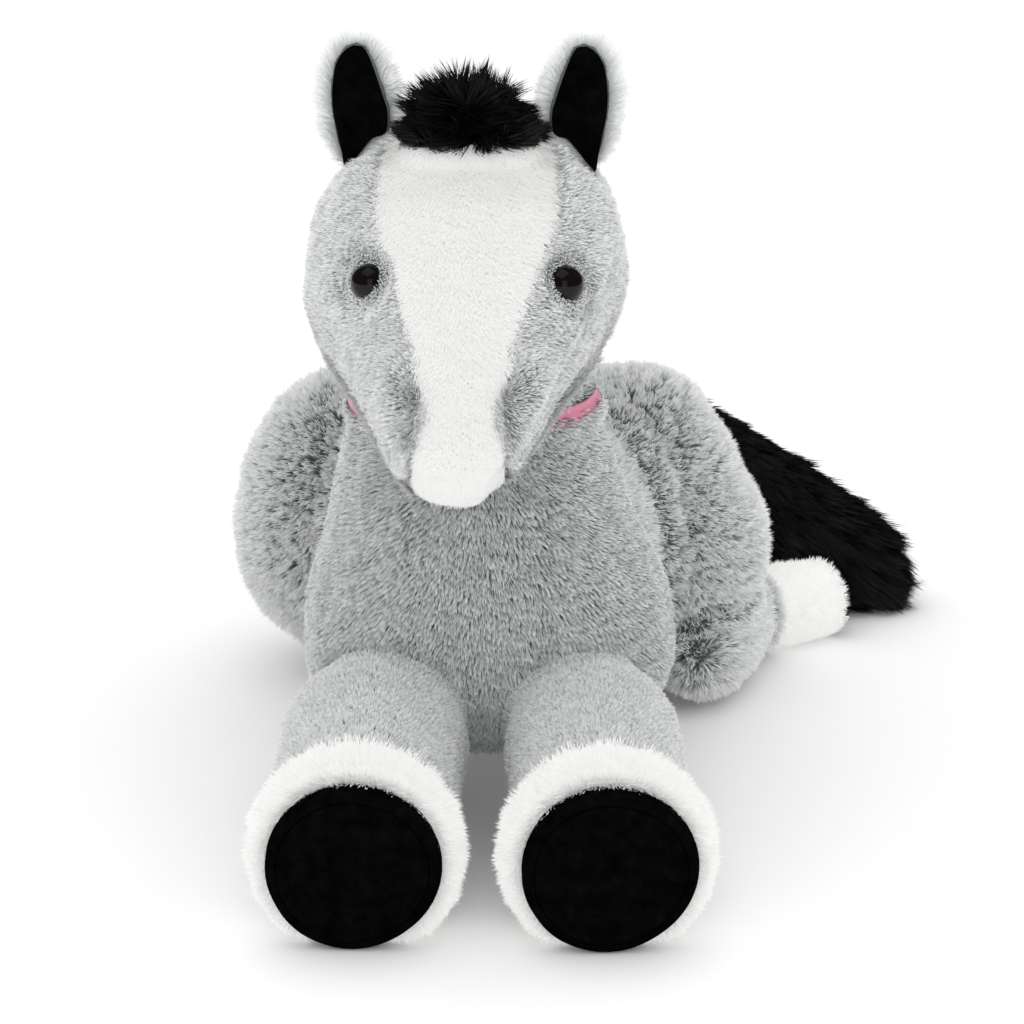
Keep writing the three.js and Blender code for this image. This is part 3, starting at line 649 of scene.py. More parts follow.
def pile_tree():
    """Geometry nodes that grow strands on a backing, drawn together into clumps."""
    tree = bpy.data.node_groups.new("pile", "GeometryNodeTree")
    sockets = {"Backing": "Geometry", "Strand": "Object", "Length": "Float", **dict.fromkeys(TRAITS, "Float")}
    sockets.update({"Seed": "Int", "Material": "Material"})
    for name, kind in sockets.items():
        tree.interface.new_socket(name, in_out="INPUT", socket_type="NodeSocket" + kind)
    tree.interface.new_socket("Pile", in_out="OUTPUT", socket_type="NodeSocketGeometry")
    graph = Graph(tree)
    entry = tree.nodes.new("NodeGroupInput")
    given = {name: Wire(graph, entry.outputs[name]) for name in sockets}

    def made(kind, settings=None, **inputs):
        """A geometry node whose inputs are given with underscores for spaces."""
        inputs = {name.replace("_", " "): value for name, value in inputs.items()}
        return graph.node("GeometryNode" + kind, settings or {}, inputs)

    def named(name, kind):
        return made("InputNamedAttribute", {"data_type": kind}, Name=name)

    def stored(geometry, name, value, kind, domain):
        settings = {"data_type": kind, "domain": domain}
        return made("StoreNamedAttribute", settings, Geometry=geometry, Name=name, Value=value)

    def vector(x, y, z=0.0):
        return graph.node("ShaderNodeCombineXYZ", {}, {"X": x, "Y": y, "Z": z})

    def random(low, high, seed, ident=None):
        kind = "FLOAT_VECTOR" if isinstance(low, tuple) else "FLOAT"
        values = {"Min": low, "Max": high, "Seed": given["Seed"] + seed}
        if ident is not None:
            values["ID"] = ident
        return graph.node("FunctionNodeRandomValue", {"data_type": kind}, values)

    def scattered(density, seed):
        return made("DistributePointsOnFaces", Mesh=given["Backing"], Density=density, Seed=seed)

    points = scattered(given["Density"] * named("grow", "FLOAT"), given["Seed"])
    outward = Wire(graph, points.socket.node.outputs["Normal"])
    centres = scattered(1.0 / (given["Clump Size"] ** 2.0), given["Seed"] + 1)
    place = made("InputPosition")
    clump = made("SampleNearest", Geometry=centres, Sample_Position=place)
    middle = made("SampleIndex", {"data_type": "FLOAT_VECTOR"}, Geometry=centres, Value=place, Index=clump)
    both = (-1.0, -1.0, -1.0), (1.0, 1.0, 1.0)
    length = given["Length"] * named("reach", "FLOAT") * random(0.78, 1.1, 2)
    length = length * (1.0 - random(0.0, 1.0, 3, clump) * given["Ragged"])
    way = named("rise", "FLOAT_VECTOR") + random(*both, 4) * given["Tangle"]
    way = way + random(*both, 5, clump) * given["Clump Lean"]
    way = way + (middle - place) * given["Clump Pull"] / given["Length"]
    turn = graph.node(
        "FunctionNodeAxesToRotation",
        {"primary_axis": "Z", "secondary_axis": "Y"},
        {"Primary Axis": way, "Secondary Axis": outward + random(*both, 6) * given["Twist"]},
    )
    shade = random(0.0, 1.0, 7) * 0.4 + random(0.0, 1.0, 8, clump) * 0.6
    points = stored(points, "shade", shade, "FLOAT", "POINT")
    blade = graph.node("GeometryNodeObjectInfo", {}, {"Object": given["Strand"]}, "Geometry")
    scale = vector(given["Width"], length, length)
    grown = made("InstanceOnPoints", Points=points, Instance=blade, Rotation=turn, Scale=scale)
    grown = made("RealizeInstances", Geometry=grown)
    above_floor = vector(place.axis(0), place.axis(1), place.axis(2).maths("MAXIMUM", 0.4 * MM))
    grown = made("SetPosition", Geometry=grown, Position=above_floor)
    local = named("OFBake", "FLOAT_VECTOR")
    chart = vector(named("shade", "FLOAT") * 0.7 + 0.15 + local.axis(0) * 0.28, local.axis(1))
    grown = stored(grown, "OFBake", chart, "FLOAT2", "CORNER")
    for name in ("grow", "reach", "rise", "shade"):
        grown = made("RemoveAttribute", Geometry=grown, Name=name)
    grown = made("RealizeInstances", Geometry=grown)
    grown = made("SetMaterial", Geometry=grown, Material=given["Material"])
    leave = tree.nodes.new("NodeGroupOutput")
    tree.links.new(grown.socket, leave.inputs["Pile"])
    return tree


def grow_pile(backing, name, kind, finish, grow, rise, reach, panels=1):
    """Grows the pile of a backing, in panels from its left to its right, each a piece of its own."""
    pile = bpy.context.scene.horse_pile
    tuft, *traits = KINDS[kind]
    values = dict(zip(TRAITS, traits))
    values["Density"] *= PER_SQUARE_MM * pile.fullness
    values["Width"] *= MM
    values["Clump Size"] *= MM
    values["Strand"] = bpy.data.objects[tuft]
    values["Length"] = getattr(pile, kind)
    values["Seed"] = pile.seed + sum(map(ord, name))
    values["Material"] = finish
    edges = np.quantile(backing.points[:, 0], np.linspace(0.0, 1.0, panels + 1)[1:-1])
    panel = np.searchsorted(edges, backing.points[:, 0])
    made = []
    for k in range(panels):
        label = f"{name}_{k + 1}" if panels > 1 else name
        thing = linked(label, mesh_of(label, backing.points, backing.faces))
        for what, kind_of, field, numbers in (
            ("grow", "FLOAT", "value", grow * (panel == k)),
            ("reach", "FLOAT", "value", reach),
            ("rise", "FLOAT_VECTOR", "vector", rise),
        ):
            layer = thing.data.attributes.new(what, kind_of, "POINT")
            layer.data.foreach_set(field, np.ascontiguousarray(numbers, np.float32).ravel())
        nodes = thing.modifiers.new("Pile", "NODES")
        nodes.node_group = bpy.data.node_groups.get("pile") or pile_tree()
        for item in nodes.node_group.interface.items_tree:
            if item.name in values:
                nodes[item.identifier] = values[item.name]
        settled(thing)
        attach(thing, backing.body)
        made.append(thing)
    return made


# how strongly and how far from a neighbour the pile leans off it
PRESS = 0.35
PRESS_WIDTH = 9 * MM
# shares of the length that are left beside a seam and at the floor
SEAM_SHARE = 0.75
FLOOR_SHARE = 0.35


def combed(backing, way, lean):
    """Unit directions of growth: outwards, leaning along the tangent part of a way."""
    normal = backing.normals()
    tangent = way - normal * (way * normal).sum(axis=1, keepdims=True)
    away = backing.off - normal * (backing.off * normal).sum(axis=1, keepdims=True)
    press = 1.0 - smoothstep(backing.gap, 0.5 * MM, PRESS_WIDTH)
    return unit(normal + unit(tangent) * lean + away * (PRESS * press)[:, None])


def cover(backing, kind):
    """Where pile grows and how long it stands: not in a seam, and short beside one."""
    length = getattr(bpy.context.scene.horse_pile, kind)
    grow = smoothstep(backing.gap, 0.3 * MM, 1.2 * MM)
    low = smoothstep(backing.points[:, 2], 1.5 * MM, 8 * MM)
    reach = np.clip(SEAM_SHARE + (1.0 - SEAM_SHARE) * backing.gap / length, SEAM_SHARE, 1.0)
    reach = reach * (FLOOR_SHARE + (1.0 - FLOOR_SHARE) * low)
    return grow, reach


def others_than(nodes):
    return [node for node in BODY_OF if node not in nodes and not node.endswith(INNER)]


def steady(*way):
    """A way of growth that is the same everywhere."""
    return lambda points: np.broadcast_to(way, points.shape)


# Pieces


class HorseOperator(Operator):
    """Base of the operators: runs make and says that it finished."""

    bl_options = {"REGISTER"}

    def execute(self, context):
        self.make(context)
        return {"FINISHED"}


CAMERA_AT = (0.057, -1.811, 0.654)
PITCH = math.radians(17.0)
YAW = math.radians(1.69)
FOCAL_PIXELS = 3600.0
PICTURE = 1024.0
SENSOR = 36.0
# the sides of each light and its place
LIGHTS = {"key": ((1.3, 1.3), (-0.25, -0.35, 1.6)), "front": ((1.0, 1.4), (0.1, -2.05, 0.78))}
AIM = Vector((0.0, -0.1, 0.15))
FLOOR_HALF = 12.0


class HORSE_OT_studio(HorseOperator):
    """Camera, soft light and a seamless pale floor"""

    bl_idname = "horse.studio"
    bl_label = "Studio"

    def make(self, context):
        studio = context.scene.horse_studio
        data = bpy.data.cameras.new("camera")
        data.lens = FOCAL_PIXELS / PICTURE * SENSOR
        data.sensor_width = SENSOR
        data.clip_end = 50.0
        camera = linked("camera", data)
        camera.location = CAMERA_AT
        camera.rotation_euler = (math.pi / 2 - PITCH, 0.0, YAW)
        context.scene.camera = camera
        context.scene.view_settings.view_transform = "Standard"
        world = bpy.data.worlds.new("sky")
        world.use_nodes = True
        background = world.node_tree.nodes["Background"]
        background.inputs["Color"].default_value = (1.0, 1.0, 1.0, 1.0)
        graph = Graph(world.node_tree)
        mirrored = graph.node("ShaderNodeLightPath", {}, {}, "Is Glossy Ray")
        strength = studio.sky * (1.0 - mirrored * (1.0 - studio.mirrored))
        graph.tree.links.new(strength.socket, background.inputs["Strength"])
        context.scene.world = world
        for name, (sides, place) in LIGHTS.items():
            self.light(name, getattr(studio, name), sides, place)
        corners = [(x * FLOOR_HALF, y * FLOOR_HALF, 0.0) for x, y in ((-1, -1), (1, -1), (1, 1), (-1, 1))]
        floor = linked("floor", mesh_of("floor", corners, [(0, 1, 2, 3)]))
        base = (*studio.floor, 1.0)

        def paint(graph):
            rough = 0.85 + graph.noise(400.0) * 0.1
            return {"Base Color": base, "Roughness": rough, "Specular IOR Level": 0.2}

        floor.data.materials.append(finish_of("pale_floor", paint))

    def light(self, name, power, sides, place):
        data = bpy.data.lights.new(name, "AREA")
        data.energy = power
        data.shape = "RECTANGLE"
        data.size, data.size_y = sides
        lamp = linked(name, data)
        lamp.location = place
        lamp.rotation_euler = (AIM - Vector(place)).to_track_quat("-Z", "Y").to_euler()


def sewn(name, nodes, cell, depth, dye, slot, inner=(), margin=6 * MM, rounds=30, floor=1.2 * MM):
    """The backing of a part, drawn in by the depth of its pile. The cell and depth are in millimetres."""
    part = Backing(name, nodes, cell * MM, rounds)
    part.measure([*others_than(nodes), *inner])
    part.inset((depth(part) if callable(depth) else depth) * MM, margin)
    part.rest(floor)
    part.close(backing_finish(dye), slot)
    return part


def grey_part(name, cell, kind, depth, way, lean, panels=1):
    """A grey stuffed part: its backing and its frosted pile."""
    stem = name.removesuffix("_cover")
    nodes = [stem + "_cover", stem + "_stuffing"]
    part = sewn(name, nodes, cell, depth, "grey", "grey_plush")
    part.measure([node for node in others_than(nodes) if node != "neck_ribbon"])
    grow, reach = cover(part, kind)
    grow = grow * part.beside_ribbon()
    rise = combed(part, way(part.points), lean)
    grow_pile(part, name + "_pile", kind, grey_finish(kind), grow, rise, reach, panels)


CHEST_MIDDLE = np.array([-0.004, -0.2, 0.15])
# levels over the floor where the chest is full, where it is slim and where the right thigh is slim
CHEST_FOOT = (0.1, 0.14)
CHEST_WAIST = (0.12, 0.15, 0.19, 0.22)
THIGH_WAIST = (0.09, 0.125, 0.155, 0.175)


class HORSE_OT_torso(HorseOperator):
    """Chest with neck, and the trunk"""

    bl_idname = "horse.torso"
    bl_label = "Chest and trunk"

    def make(self, context):
        def outward(points):
            way = points - CHEST_MIDDLE
            way[:, 2] = way[:, 2] * 0.6 - 0.045
            return way

        def fuller(part):
            """The chest is fuller low at its sides, and slimmer higher up at its left one."""
            flank = part.normals()[:, 0]
            level = part.points[:, 2]
            low = 1.0 - smoothstep(level, *CHEST_FOOT)
            high = between(level, *CHEST_WAIST)
            return 4.5 - 3.2 * np.abs(flank) * low + 2.2 * np.maximum(flank, 0.0) * high

        grey_part("chest", 3.2, "chest", depth=fuller, way=outward, lean=2.2, panels=3)
        down = steady(0.0, 0.5, -0.6)
        grey_part("trunk", 3.6, "trunk", depth=7.5, way=down, lean=0.15, panels=3)


class HORSE_OT_hind_legs(HorseOperator):
    """Thighs, shins, white socks and black hooves of the hind legs"""

    bl_idname = "horse.hind_legs"
    bl_label = "Hind legs"

    def make(self, context):
        for label, side in SIDES.items():

            def slimmer(part):
                """The right leg is slimmer at its free side, above the knee and below it."""
                flank = np.maximum(side * part.normals()[:, 0], 0.0) * (side > 0)
                if part.name.endswith("shin"):
                    return 6.5 + 5.0 * flank
                level = part.points[:, 2]
                flank = 6.5 * flank * smoothstep(level, *THIGH_WAIST[:2])
                return 8.0 + flank * (1.0 - smoothstep(level, *THIGH_WAIST[2:]))

            stem = f"hind_leg_{label}_"
            down = steady(side * 0.6, 0.25, -0.5)
            for part, panels in (("thigh", 2), ("shin", 1)):
                grey_part(stem + part, 3.4, "haunch", depth=slimmer, way=down, lean=0.1, panels=panels)
            white_sock(stem + "sock", stem + "hoof", length_share=0.8)
            hoof = Backing(stem + "hoof", [stem + "hoof"], 1.8 * MM, rounds=8)
            hoof.rest(0.5 * MM)
            hoof.close(velour_finish(), "black_velour")


def white_sock(name, hoof, length_share=1.0):
    """A sock of long white pile round a leg, which hangs over the edge of the hoof."""
    leg = name.removesuffix("_sock")
    inner = [node for node in BODY_OF if node.startswith(leg) and node.endswith("_stuffing")]
    part = sewn(name, [name], 2.4, 5.0, "white", "white_long_pile", inner, margin=4 * MM, rounds=12)
    grow, reach = cover(part, "sock")
    hoof_at = solid_points(hoof).mean(axis=0)
    ahead = unit((hoof_at - part.points.mean(axis=0))[None])
    part.measure(others_than([name, hoof]))
    off = part.points - hoof_at
    radial = unit(off - ahead * (off @ ahead[0])[:, None])
    rise = combed(part, radial + ahead * 0.3, 0.5)
    over = 1.0 - smoothstep(distances(tree_of([hoof]), part.points), 1 * MM, 10 * MM)
    rise = unit(rise + ahead * (0.2 * over)[:, None])
    reach = reach * length_share
    grow_pile(part, name + "_pile", "sock", white_finish(), grow, rise, reach)


HOOF_SPREAD = 0.114
HOOF_HEIGHT = 0.0384
LEG_REACH = 0.143
# a rolled side band and a crowned sole, which meet in a sunken seam: radius and height in millimetres
HOOF = {
    "hoof_band": [
        (34.0, -16.0), (37.2, -14.0), (38.6, -9.0), (39.2, -4.5), (38.7, -1.2), (37.2, 0.9), (35.2, 2.2),
        (34.2, 2.5), (33.9, 1.5),
    ],
    "hoof_sole": [
        (33.6, 1.2), (33.5, 2.4), (32.4, 3.0), (28.0, 3.9), (22.0, 4.7), (15.0, 5.2), (8.0, 5.5), (0.0, 5.6),
    ],
}


class HORSE_OT_front_legs(HorseOperator):
    """Front legs with their socks, hoof bands and soles"""

    bl_idname = "horse.front_legs"
    bl_label = "Front legs"

    def make(self, context):
        for label, side in SIDES.items():
            stem = f"front_leg_{label}_"
            shoulder = np.array(JOINT_AT[stem + "lift"])
            sole = np.array([side * HOOF_SPREAD / 2, shoulder[1] - LEG_REACH, HOOF_HEIGHT])
            along = (sole - shoulder) / np.linalg.norm(sole - shoulder)

            def fanned(points):
                off = points - shoulder
                off = off - along * (off @ along)[:, None]
                return unit(off) * np.array([1.0, 1.0, 0.3]) - along * 0.8

            def uneven(part):
                """At its left side the left leg is fuller and the right one slimmer."""
                return 4.0 + 2.4 * side * np.maximum(-part.normals()[:, 0], 0.0)

            grey_part(stem + "cover", 2.8, "leg", depth=uneven, way=fanned, lean=1.2)
            white_sock(stem + "sock", stem + "hoof_band")
            for part, profile in HOOF.items():
                piece = lathe(stem + part, profile, 180, sole, along, wrinkle=0.48)
                finished(piece, stem + part, velour_finish())


# the outline of the blaze: share of the head's length, half its width as a share of BLAZE_WIDTH
BLAZE = [
    (0.02, 0.42), (0.11, 0.45), (0.25, 0.485), (0.41, 0.487), (0.51, 0.42), (0.6, 0.353), (0.7, 0.279),
    (0.78, 0.237), (0.85, 0.2), (0.9, 0.222), (0.935, 0.262), (1.05, 0.25),
]
BLAZE_WIDTH = 0.088
BLAZE_SEAM = 2.7 * MM
HEAD_LENGTH = 0.218
HEAD_BACK = 0.025
HEAD_RISE = 0.078
HEAD_DEPTH = 0.122
HEAD_DROOP = math.radians(25.5)
NOSE_SHARE = 0.8
UNDER_SHARE = 0.22


class Face:
    """The head's own frame: along it from the nape, across it and above its axis."""

    neck = np.array(JOINT_AT["neck_turn"])
    nape = neck + np.array([0.0, HEAD_BACK, HEAD_RISE])
    along = np.array([0.0, -math.cos(HEAD_DROOP), -math.sin(HEAD_DROOP)])
    above = np.array([0.0, -math.sin(HEAD_DROOP), math.cos(HEAD_DROOP)])

    def __init__(self, points):
        self.share = ((points - self.nape) @ self.along + HEAD_BACK) / HEAD_LENGTH
        self.across = points[:, 0] - self.nape[0]
        self.before_ears = JOINT_AT["ear_left_fold"][1] + 3 * MM - points[:, 1]
        self.height = (points - self.nape) @ self.above

    def blaze(self):
        """How far inside the blaze's outline each point is, in metres."""
        shares, widths = np.array(BLAZE).T
        fine = np.linspace(shares[0], shares[-1], 200)
        curve = np.interp(fine, shares, widths)
        for _ in range(12):
            curve[1:-1] = 0.25 * curve[:-2] + 0.5 * curve[1:-1] + 0.25 * curve[2:]
        inside = np.interp(self.share, fine, curve) * BLAZE_WIDTH - np.abs(self.across) - BLAZE_SEAM
        low = np.where(self.share > NOSE_SHARE, -UNDER_SHARE * HEAD_DEPTH, 0.0)
        inside = np.minimum(inside, self.before_ears)
        return np.minimum(inside, np.minimum(self.height - low, (self.share - BLAZE[0][0]) * HEAD_LENGTH))


def seen_at(tree, x, y):
    """The point of a surface that the camera sees at a pixel of the picture."""
    forward = Vector((-math.sin(YAW) * math.cos(PITCH), math.cos(YAW) * math.cos(PITCH), -math.sin(PITCH)))
    right = Vector((math.cos(YAW), math.sin(YAW), 0.0))
    up = right.cross(forward)
    ray = forward * FOCAL_PIXELS + right * (x - PICTURE / 2) - up * (y - PICTURE / 2)
    spot = tree.ray_cast(Vector(CAMERA_AT), ray.normalized())[0]
    if spot is None:
        raise RuntimeError(f"nothing is seen at {x}, {y}")
    return np.array(spot)


# pixel of the picture where the pile parts, and how strongly
PARTINGS = [(413, 386, 1.0), (509, 384, 1.0), (410, 425, 0.45), (511, 419, 0.45)]
PARTING_DEPTH = 8 * MM
PARTING_LENGTH = 9 * MM
PARTING_WIDTH = 6 * MM
# how far round a parting the pile is combed off it, and where round an eye it is short and then long
PARTING_REACH = 14 * MM
EYE_CLEARING = (11.5 * MM, 21 * MM)
HEAD_PILE = 4 * MM
JAW_INSET = 5 * MM


class HORSE_OT_head(HorseOperator):
    """Head: grey cover, whose pile parts beside the muzzle, and white blaze"""

    bl_idname = "horse.head"
    bl_label = "Head"

    def make(self, context):
        nodes = ["head_cover", "head_stuffing", "face_blaze"]
        part = Backing("head", nodes, 2.6 * MM, rounds=36)
        part.measure(others_than(nodes))
        face = Face(part.points)
        temple = smoothstep(-face.across, 30 * MM, 60 * MM) * (1.0 - smoothstep(face.share, 0.35, 0.6))
        crown = 1.0 - smoothstep(face.share, 0.08, 0.25)
        jaw = smoothstep(part.normals() @ np.array([0.7, 0.0, -0.7]), 0.25, 0.75)
        jaw = jaw * smoothstep(face.across, 6 * MM, 18 * MM) * smoothstep(face.share, 0.3, 0.45)
        part.inset(HEAD_PILE * (1.0 - 0.85 * np.maximum(temple, crown)) + JAW_INSET * jaw, 6 * MM)
        tree = tree_over(part.points, part.faces)
        spots = [(seen_at(tree, x, y), strong) for x, y, strong in PARTINGS]
        dent = np.zeros(part.count)
        for spot, strong in spots:
            off = part.points - spot
            along = off @ Face.along
            aside = np.linalg.norm(off - Face.along * along[:, None], axis=1)
            dent += strong * np.exp(-((along / PARTING_LENGTH) ** 2) - (aside / PARTING_WIDTH) ** 2)
        part.points = part.points - part.normals() * (dent * PARTING_DEPTH)[:, None]
        part.nodes = nodes[:2]
        part.close(backing_finish("grey"), "grey_plush")
        face = Face(part.points)
        inside = face.blaze()
        white = smoothstep(inside, -0.8 * MM, 0.8 * MM)
        wide = smoothstep(inside, -2.0 * MM, -0.4 * MM)
        grow, reach = cover(part, "face")
        crown = 1.0 - smoothstep(face.share, 0.05, 0.3)
        flow = np.clip(2.3 * (face.share - 0.45), -0.9, 0.35)
        way = np.sign(face.across)[:, None] * SIDEWAYS + Face.along * flow[:, None]
        for spot, strong in spots:
            off = part.points - spot
            near = strong * np.exp(-((np.linalg.norm(off, axis=1) / PARTING_REACH) ** 2))
            way = way + unit(off) * (near * 3.0)[:, None]
        rise = combed(part, way, 1.5)
        rise = unit(rise + UP * (0.35 * crown)[:, None])
        reach = reach * (1.0 - 0.45 * np.clip(dent, 0.0, 1.0)) * (1.0 + 0.25 * crown)
        for eye in ("eye_left", "eye_right"):
            off = np.linalg.norm(part.points - solid_points(eye).mean(axis=0), axis=1)
            reach = reach * (0.25 + 0.75 * smoothstep(off, *EYE_CLEARING))
        grey = grow * (1.0 - white)
        for label, there in (("left", face.across < 0), ("right", face.across >= 0)):
            name = f"head_pile_{label}"
            grow_pile(part, name, "face", grey_finish("face"), grey * there, rise, reach)
        aside = np.clip(face.across / (45 * MM), -0.5, 0.5)
        front = smoothstep(face.share, 0.8, 1.0)[:, None]
        down = Face.along * (0.1 + 0.9 * smoothstep(face.share, 0.12, 0.3))[:, None]
        way = aside[:, None] * SIDEWAYS + down * (1.0 - front) - UP * front
        rise = combed(part, way, 2.0)
        self.blaze(part, white, wide, grow, rise, reach * (1.0 - 0.45 * front[:, 0]))

    def blaze(self, part, white, wide, grow, rise, reach):
        """The white panel's own backing, just over the grey one, with its pile."""
        kept = [f for f in part.faces if white[f].mean() > 0.5 and grow[f].min() > 0.2]
        used = np.unique(kept)
        place = {int(v): i for i, v in enumerate(used)}
        points = part.points[used] + part.normals()[used] * 0.5 * MM
        patch = mesh_of("face_blaze_backing", points, [[place[int(v)] for v in f] for f in kept])
        patch.materials.append(backing_finish("white"))
        grow = grow * wide
        # the blaze's white, dimmed further than the socks' as painted shade
        pile = grow_pile(part, "blaze", "blaze", white_finish(0.83), grow, rise, reach)[0]
        backing = linked("blaze_backing", patch)
        with bpy.context.temp_override(active_object=pile, selected_editable_objects=[pile, backing]):
            bpy.ops.object.join()
        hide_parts("face_blaze")


# radius and height of the dome and its ridged shank, the height of its top and how far each eye sits
# below the middle of its solid, all in millimetres
EYE_PROFILE = [
    (0.0, 7.6), (2.4, 7.3), (4.6, 6.4), (6.5, 4.9), (7.9, 3.0), (8.6, 1.2), (8.8, 0.0), (8.75, -0.9),
    (8.3, -1.4), (5.0, -1.4), (2.3, -1.5), (2.2, -6.0), (2.8, -8.4), (2.2, -9.0), (2.9, -11.6),
    (2.2, -12.2), (2.2, -13.3), (0.0, -13.4),
]
EYE_TOP = 8.2
EYE_DROP = {"left": 2.0, "right": 0.6}


class HORSE_OT_eyes(HorseOperator):
    """Moulded glossy eyes on ridged shanks"""

    bl_idname = "horse.eyes"
    bl_label = "Eyes"

    def make(self, context):
        base = (*colours().eye, 1.0)

        def paint(graph):
            rough = 0.05 + graph.noise(300.0) * 0.03
            return {"Base Color": base, "Roughness": rough, "Specular IOR Level": 0.25}

        for label in SIDES:
            name = f"eye_{label}"
            eye = solid_points(name)
            middle = eye.mean(axis=0)
            along = unit((middle - solid_points(name + "_washer").mean(axis=0))[None])[0]
            top = (eye[np.argmax(eye @ along)] - middle) @ along
            centre = middle + along * (top - EYE_TOP * MM) - UP * EYE_DROP[label] * MM
            piece = lathe(name + "_dome", EYE_PROFILE, 72, centre, along)
            finished(piece, name, finish_of("eye_plastic", paint))


LINING_WIDTH = 0.027
LINING_WALL = 0.9 * MM
# how far the lining lies over the ear, and a distance from which the ear is looked for
LINING_LIFT = 0.7 * MM
EAR_CLEAR = 0.03
EAR_LEAN = math.radians(4.0)
EAR_TURN = math.radians(5.0)
# level above the root in millimetres, outer half and inner half as shares of the width
LINING = [
    (-2.9, -0.02, 0.04), (0.2, 0.01, 0.13), (3.8, 0.04, 0.22), (7.4, 0.08, 0.31), (11.0, 0.12, 0.4),
    (13.5, 0.14, 0.48), (15.0, 0.155, 0.68), (18.2, 0.19, 0.72), (23.6, 0.24, 0.72), (28.1, 0.265, 0.69),
    (32.6, 0.28, 0.62), (37.1, 0.28, 0.555), (41.6, 0.27, 0.485), (46.1, 0.25, 0.41), (50.6, 0.18, 0.33),
    (53.7, 0.09, 0.26), (55.5, -0.02, 0.19),
]
LINING_TOP = LINING[-1][0]


class HORSE_OT_ears(HorseOperator):
    """Ears: grey backs with a fringe, and black velour linings"""

    bl_idname = "horse.ears"
    bl_label = "Ears"

    def make(self, context):
        for label, side in SIDES.items():
            back = f"ear_{label}_back"
            root = np.array(JOINT_AT[f"ear_{label}_fold"])
            rise = np.array([-side * math.sin(EAR_LEAN), 0.0, math.cos(EAR_LEAN)])
            facing = np.array([side * math.sin(EAR_TURN), -math.cos(EAR_TURN), 0.0])
            across = np.cross(rise, facing)
            part = Backing(f"ear_{label}_skin", [back], 1.6 * MM, rounds=10)
            part.measure(others_than([back, f"ear_{label}_lining"]))
            local = part.points - root
            level, wide, thick = local @ rise, local @ across, local @ facing
            lower, upper = self.ends(side, level * LINING_TOP * MM / level.max())
            step = 3 * MM
            row = np.round(level / step)
            steps = np.unique(row)
            least = np.interp(level / step, steps, [wide[row == k].min() for k in steps])
            most = np.interp(level / step, steps, [wide[row == k].max() for k in steps])
            share = np.clip((wide - least) / np.maximum(most - least, 1 * MM), 0.0, 1.0)
            free = smoothstep(level, -12 * MM, 4 * MM)
            edge = 1.2 * MM * smoothstep(level, -2 * MM, 12 * MM)
            aim = lower - edge + (upper - lower + 2.0 * edge) * share
            thinner = facing * (thick * 0.3 * free)[:, None]
            part.points = part.points + across * (aim - wide)[:, None] - thinner
            sunk = level * (1.0 - (LINING_TOP + 1.5) * MM / level.max())
            part.points = part.points - rise * (sunk * (level > 0))[:, None]
            part.points = part.spread(part.points, 4)
            part.close(backing_finish("grey"), "grey_plush")
            lining = self.lining(label, side, root, rise, facing, across, tree_over(part.points, part.faces))
            near = distances(lining, part.points)
            grow, reach = cover(part, "ear")
            front = smoothstep(part.normals() @ facing, 0.0, 0.5)
            grow = grow * (1.0 - front * (1.0 - smoothstep(near, 0.8 * MM, 2.2 * MM)))
            grow = grow * smoothstep(level, -4 * MM, 3 * MM)
            reach = reach * (0.7 + 0.3 * smoothstep(level, 0.0, 18 * MM))
            reach = reach * (1.0 - 0.25 * smoothstep(level, 46 * MM, 60 * MM))
            up = 0.1 + 0.9 * smoothstep(level, 20 * MM, 60 * MM)
            out = across * (wide / (16 * MM))[:, None] + rise * up[:, None]
            comb = combed(part, out, 1.2)
            grow_pile(part, f"ear_{label}_pile", "ear", grey_finish("ear"), grow, comb, reach)

    def ends(self, side, level):
        """The two edges of the lining across the ear at some levels, the lower one first."""
        levels, outer, inner = np.array(LINING).T
        ends = side * np.interp(level / MM, levels, outer), -side * np.interp(level / MM, levels, inner)
        return np.minimum(*ends) * LINING_WIDTH, np.maximum(*ends) * LINING_WIDTH

    def lining(self, label, side, root, rise, facing, across, tree):
        """The velour leaf on the front of the ear. Returns its search tree."""
        rows, columns = 40, 20
        points = []
        face_at = 0.0
        for i in range(rows + 1):
            height = (LINING[0][0] + (LINING_TOP - LINING[0][0]) * i / rows) * MM
            lower, upper = self.ends(side, height)
            for j in range(columns + 1):
                base = root + rise * height + across * (lower + (upper - lower) * j / columns)
                hit = tree.ray_cast(Vector(base + facing * EAR_CLEAR), Vector(-facing), 2 * EAR_CLEAR)[0]
                if hit:
                    face_at = (np.array(hit) - root) @ facing
                elif points:
                    face_at = (points[-1] - root) @ facing - LINING_LIFT
                points.append(base + facing * (face_at + LINING_LIFT))
        grid = np.array(points).reshape(rows + 1, columns + 1, 3)
        for _ in range(4):
            total = grid[1:-1, 1:-1] + grid[:-2, 1:-1] + grid[2:, 1:-1]
            grid[1:-1, 1:-1] = (total + grid[1:-1, :-2] + grid[1:-1, 2:]) / 5
        name = f"ear_{label}_lining"
        mesh = mesh_of(name + "_velour", grid.reshape(-1, 3), quads(rows, columns + 1, closed=False))
        piece = linked(name + "_velour", mesh)
        walled(piece, LINING_WALL)
        turned_out(piece.data)
        finished(piece, name, velour_finish())
        return tree_over([v.co for v in piece.data.vertices], [p.vertices for p in piece.data.polygons])


def black_part(name, node, cell, kind, depth, way, lean, trim=None):
    """A part of long black pile, whose trim changes the length by the place."""
    part = sewn(name, [node], cell, depth, "black", "black_long_pile", rounds=14, floor=1.5 * MM)
    grow, reach = cover(part, kind)
    if trim is not None:
        reach = reach * trim(part.points)
    rise = combed(part, way(part.points), lean)
    grow_pile(part, name + "_pile", kind, black_finish(), grow, rise, reach)


# how far the locks of the forelock turn apart, and how closely they follow each other
LOCK_TURN = 10 * MM
LOCK_WAVES = 420.0


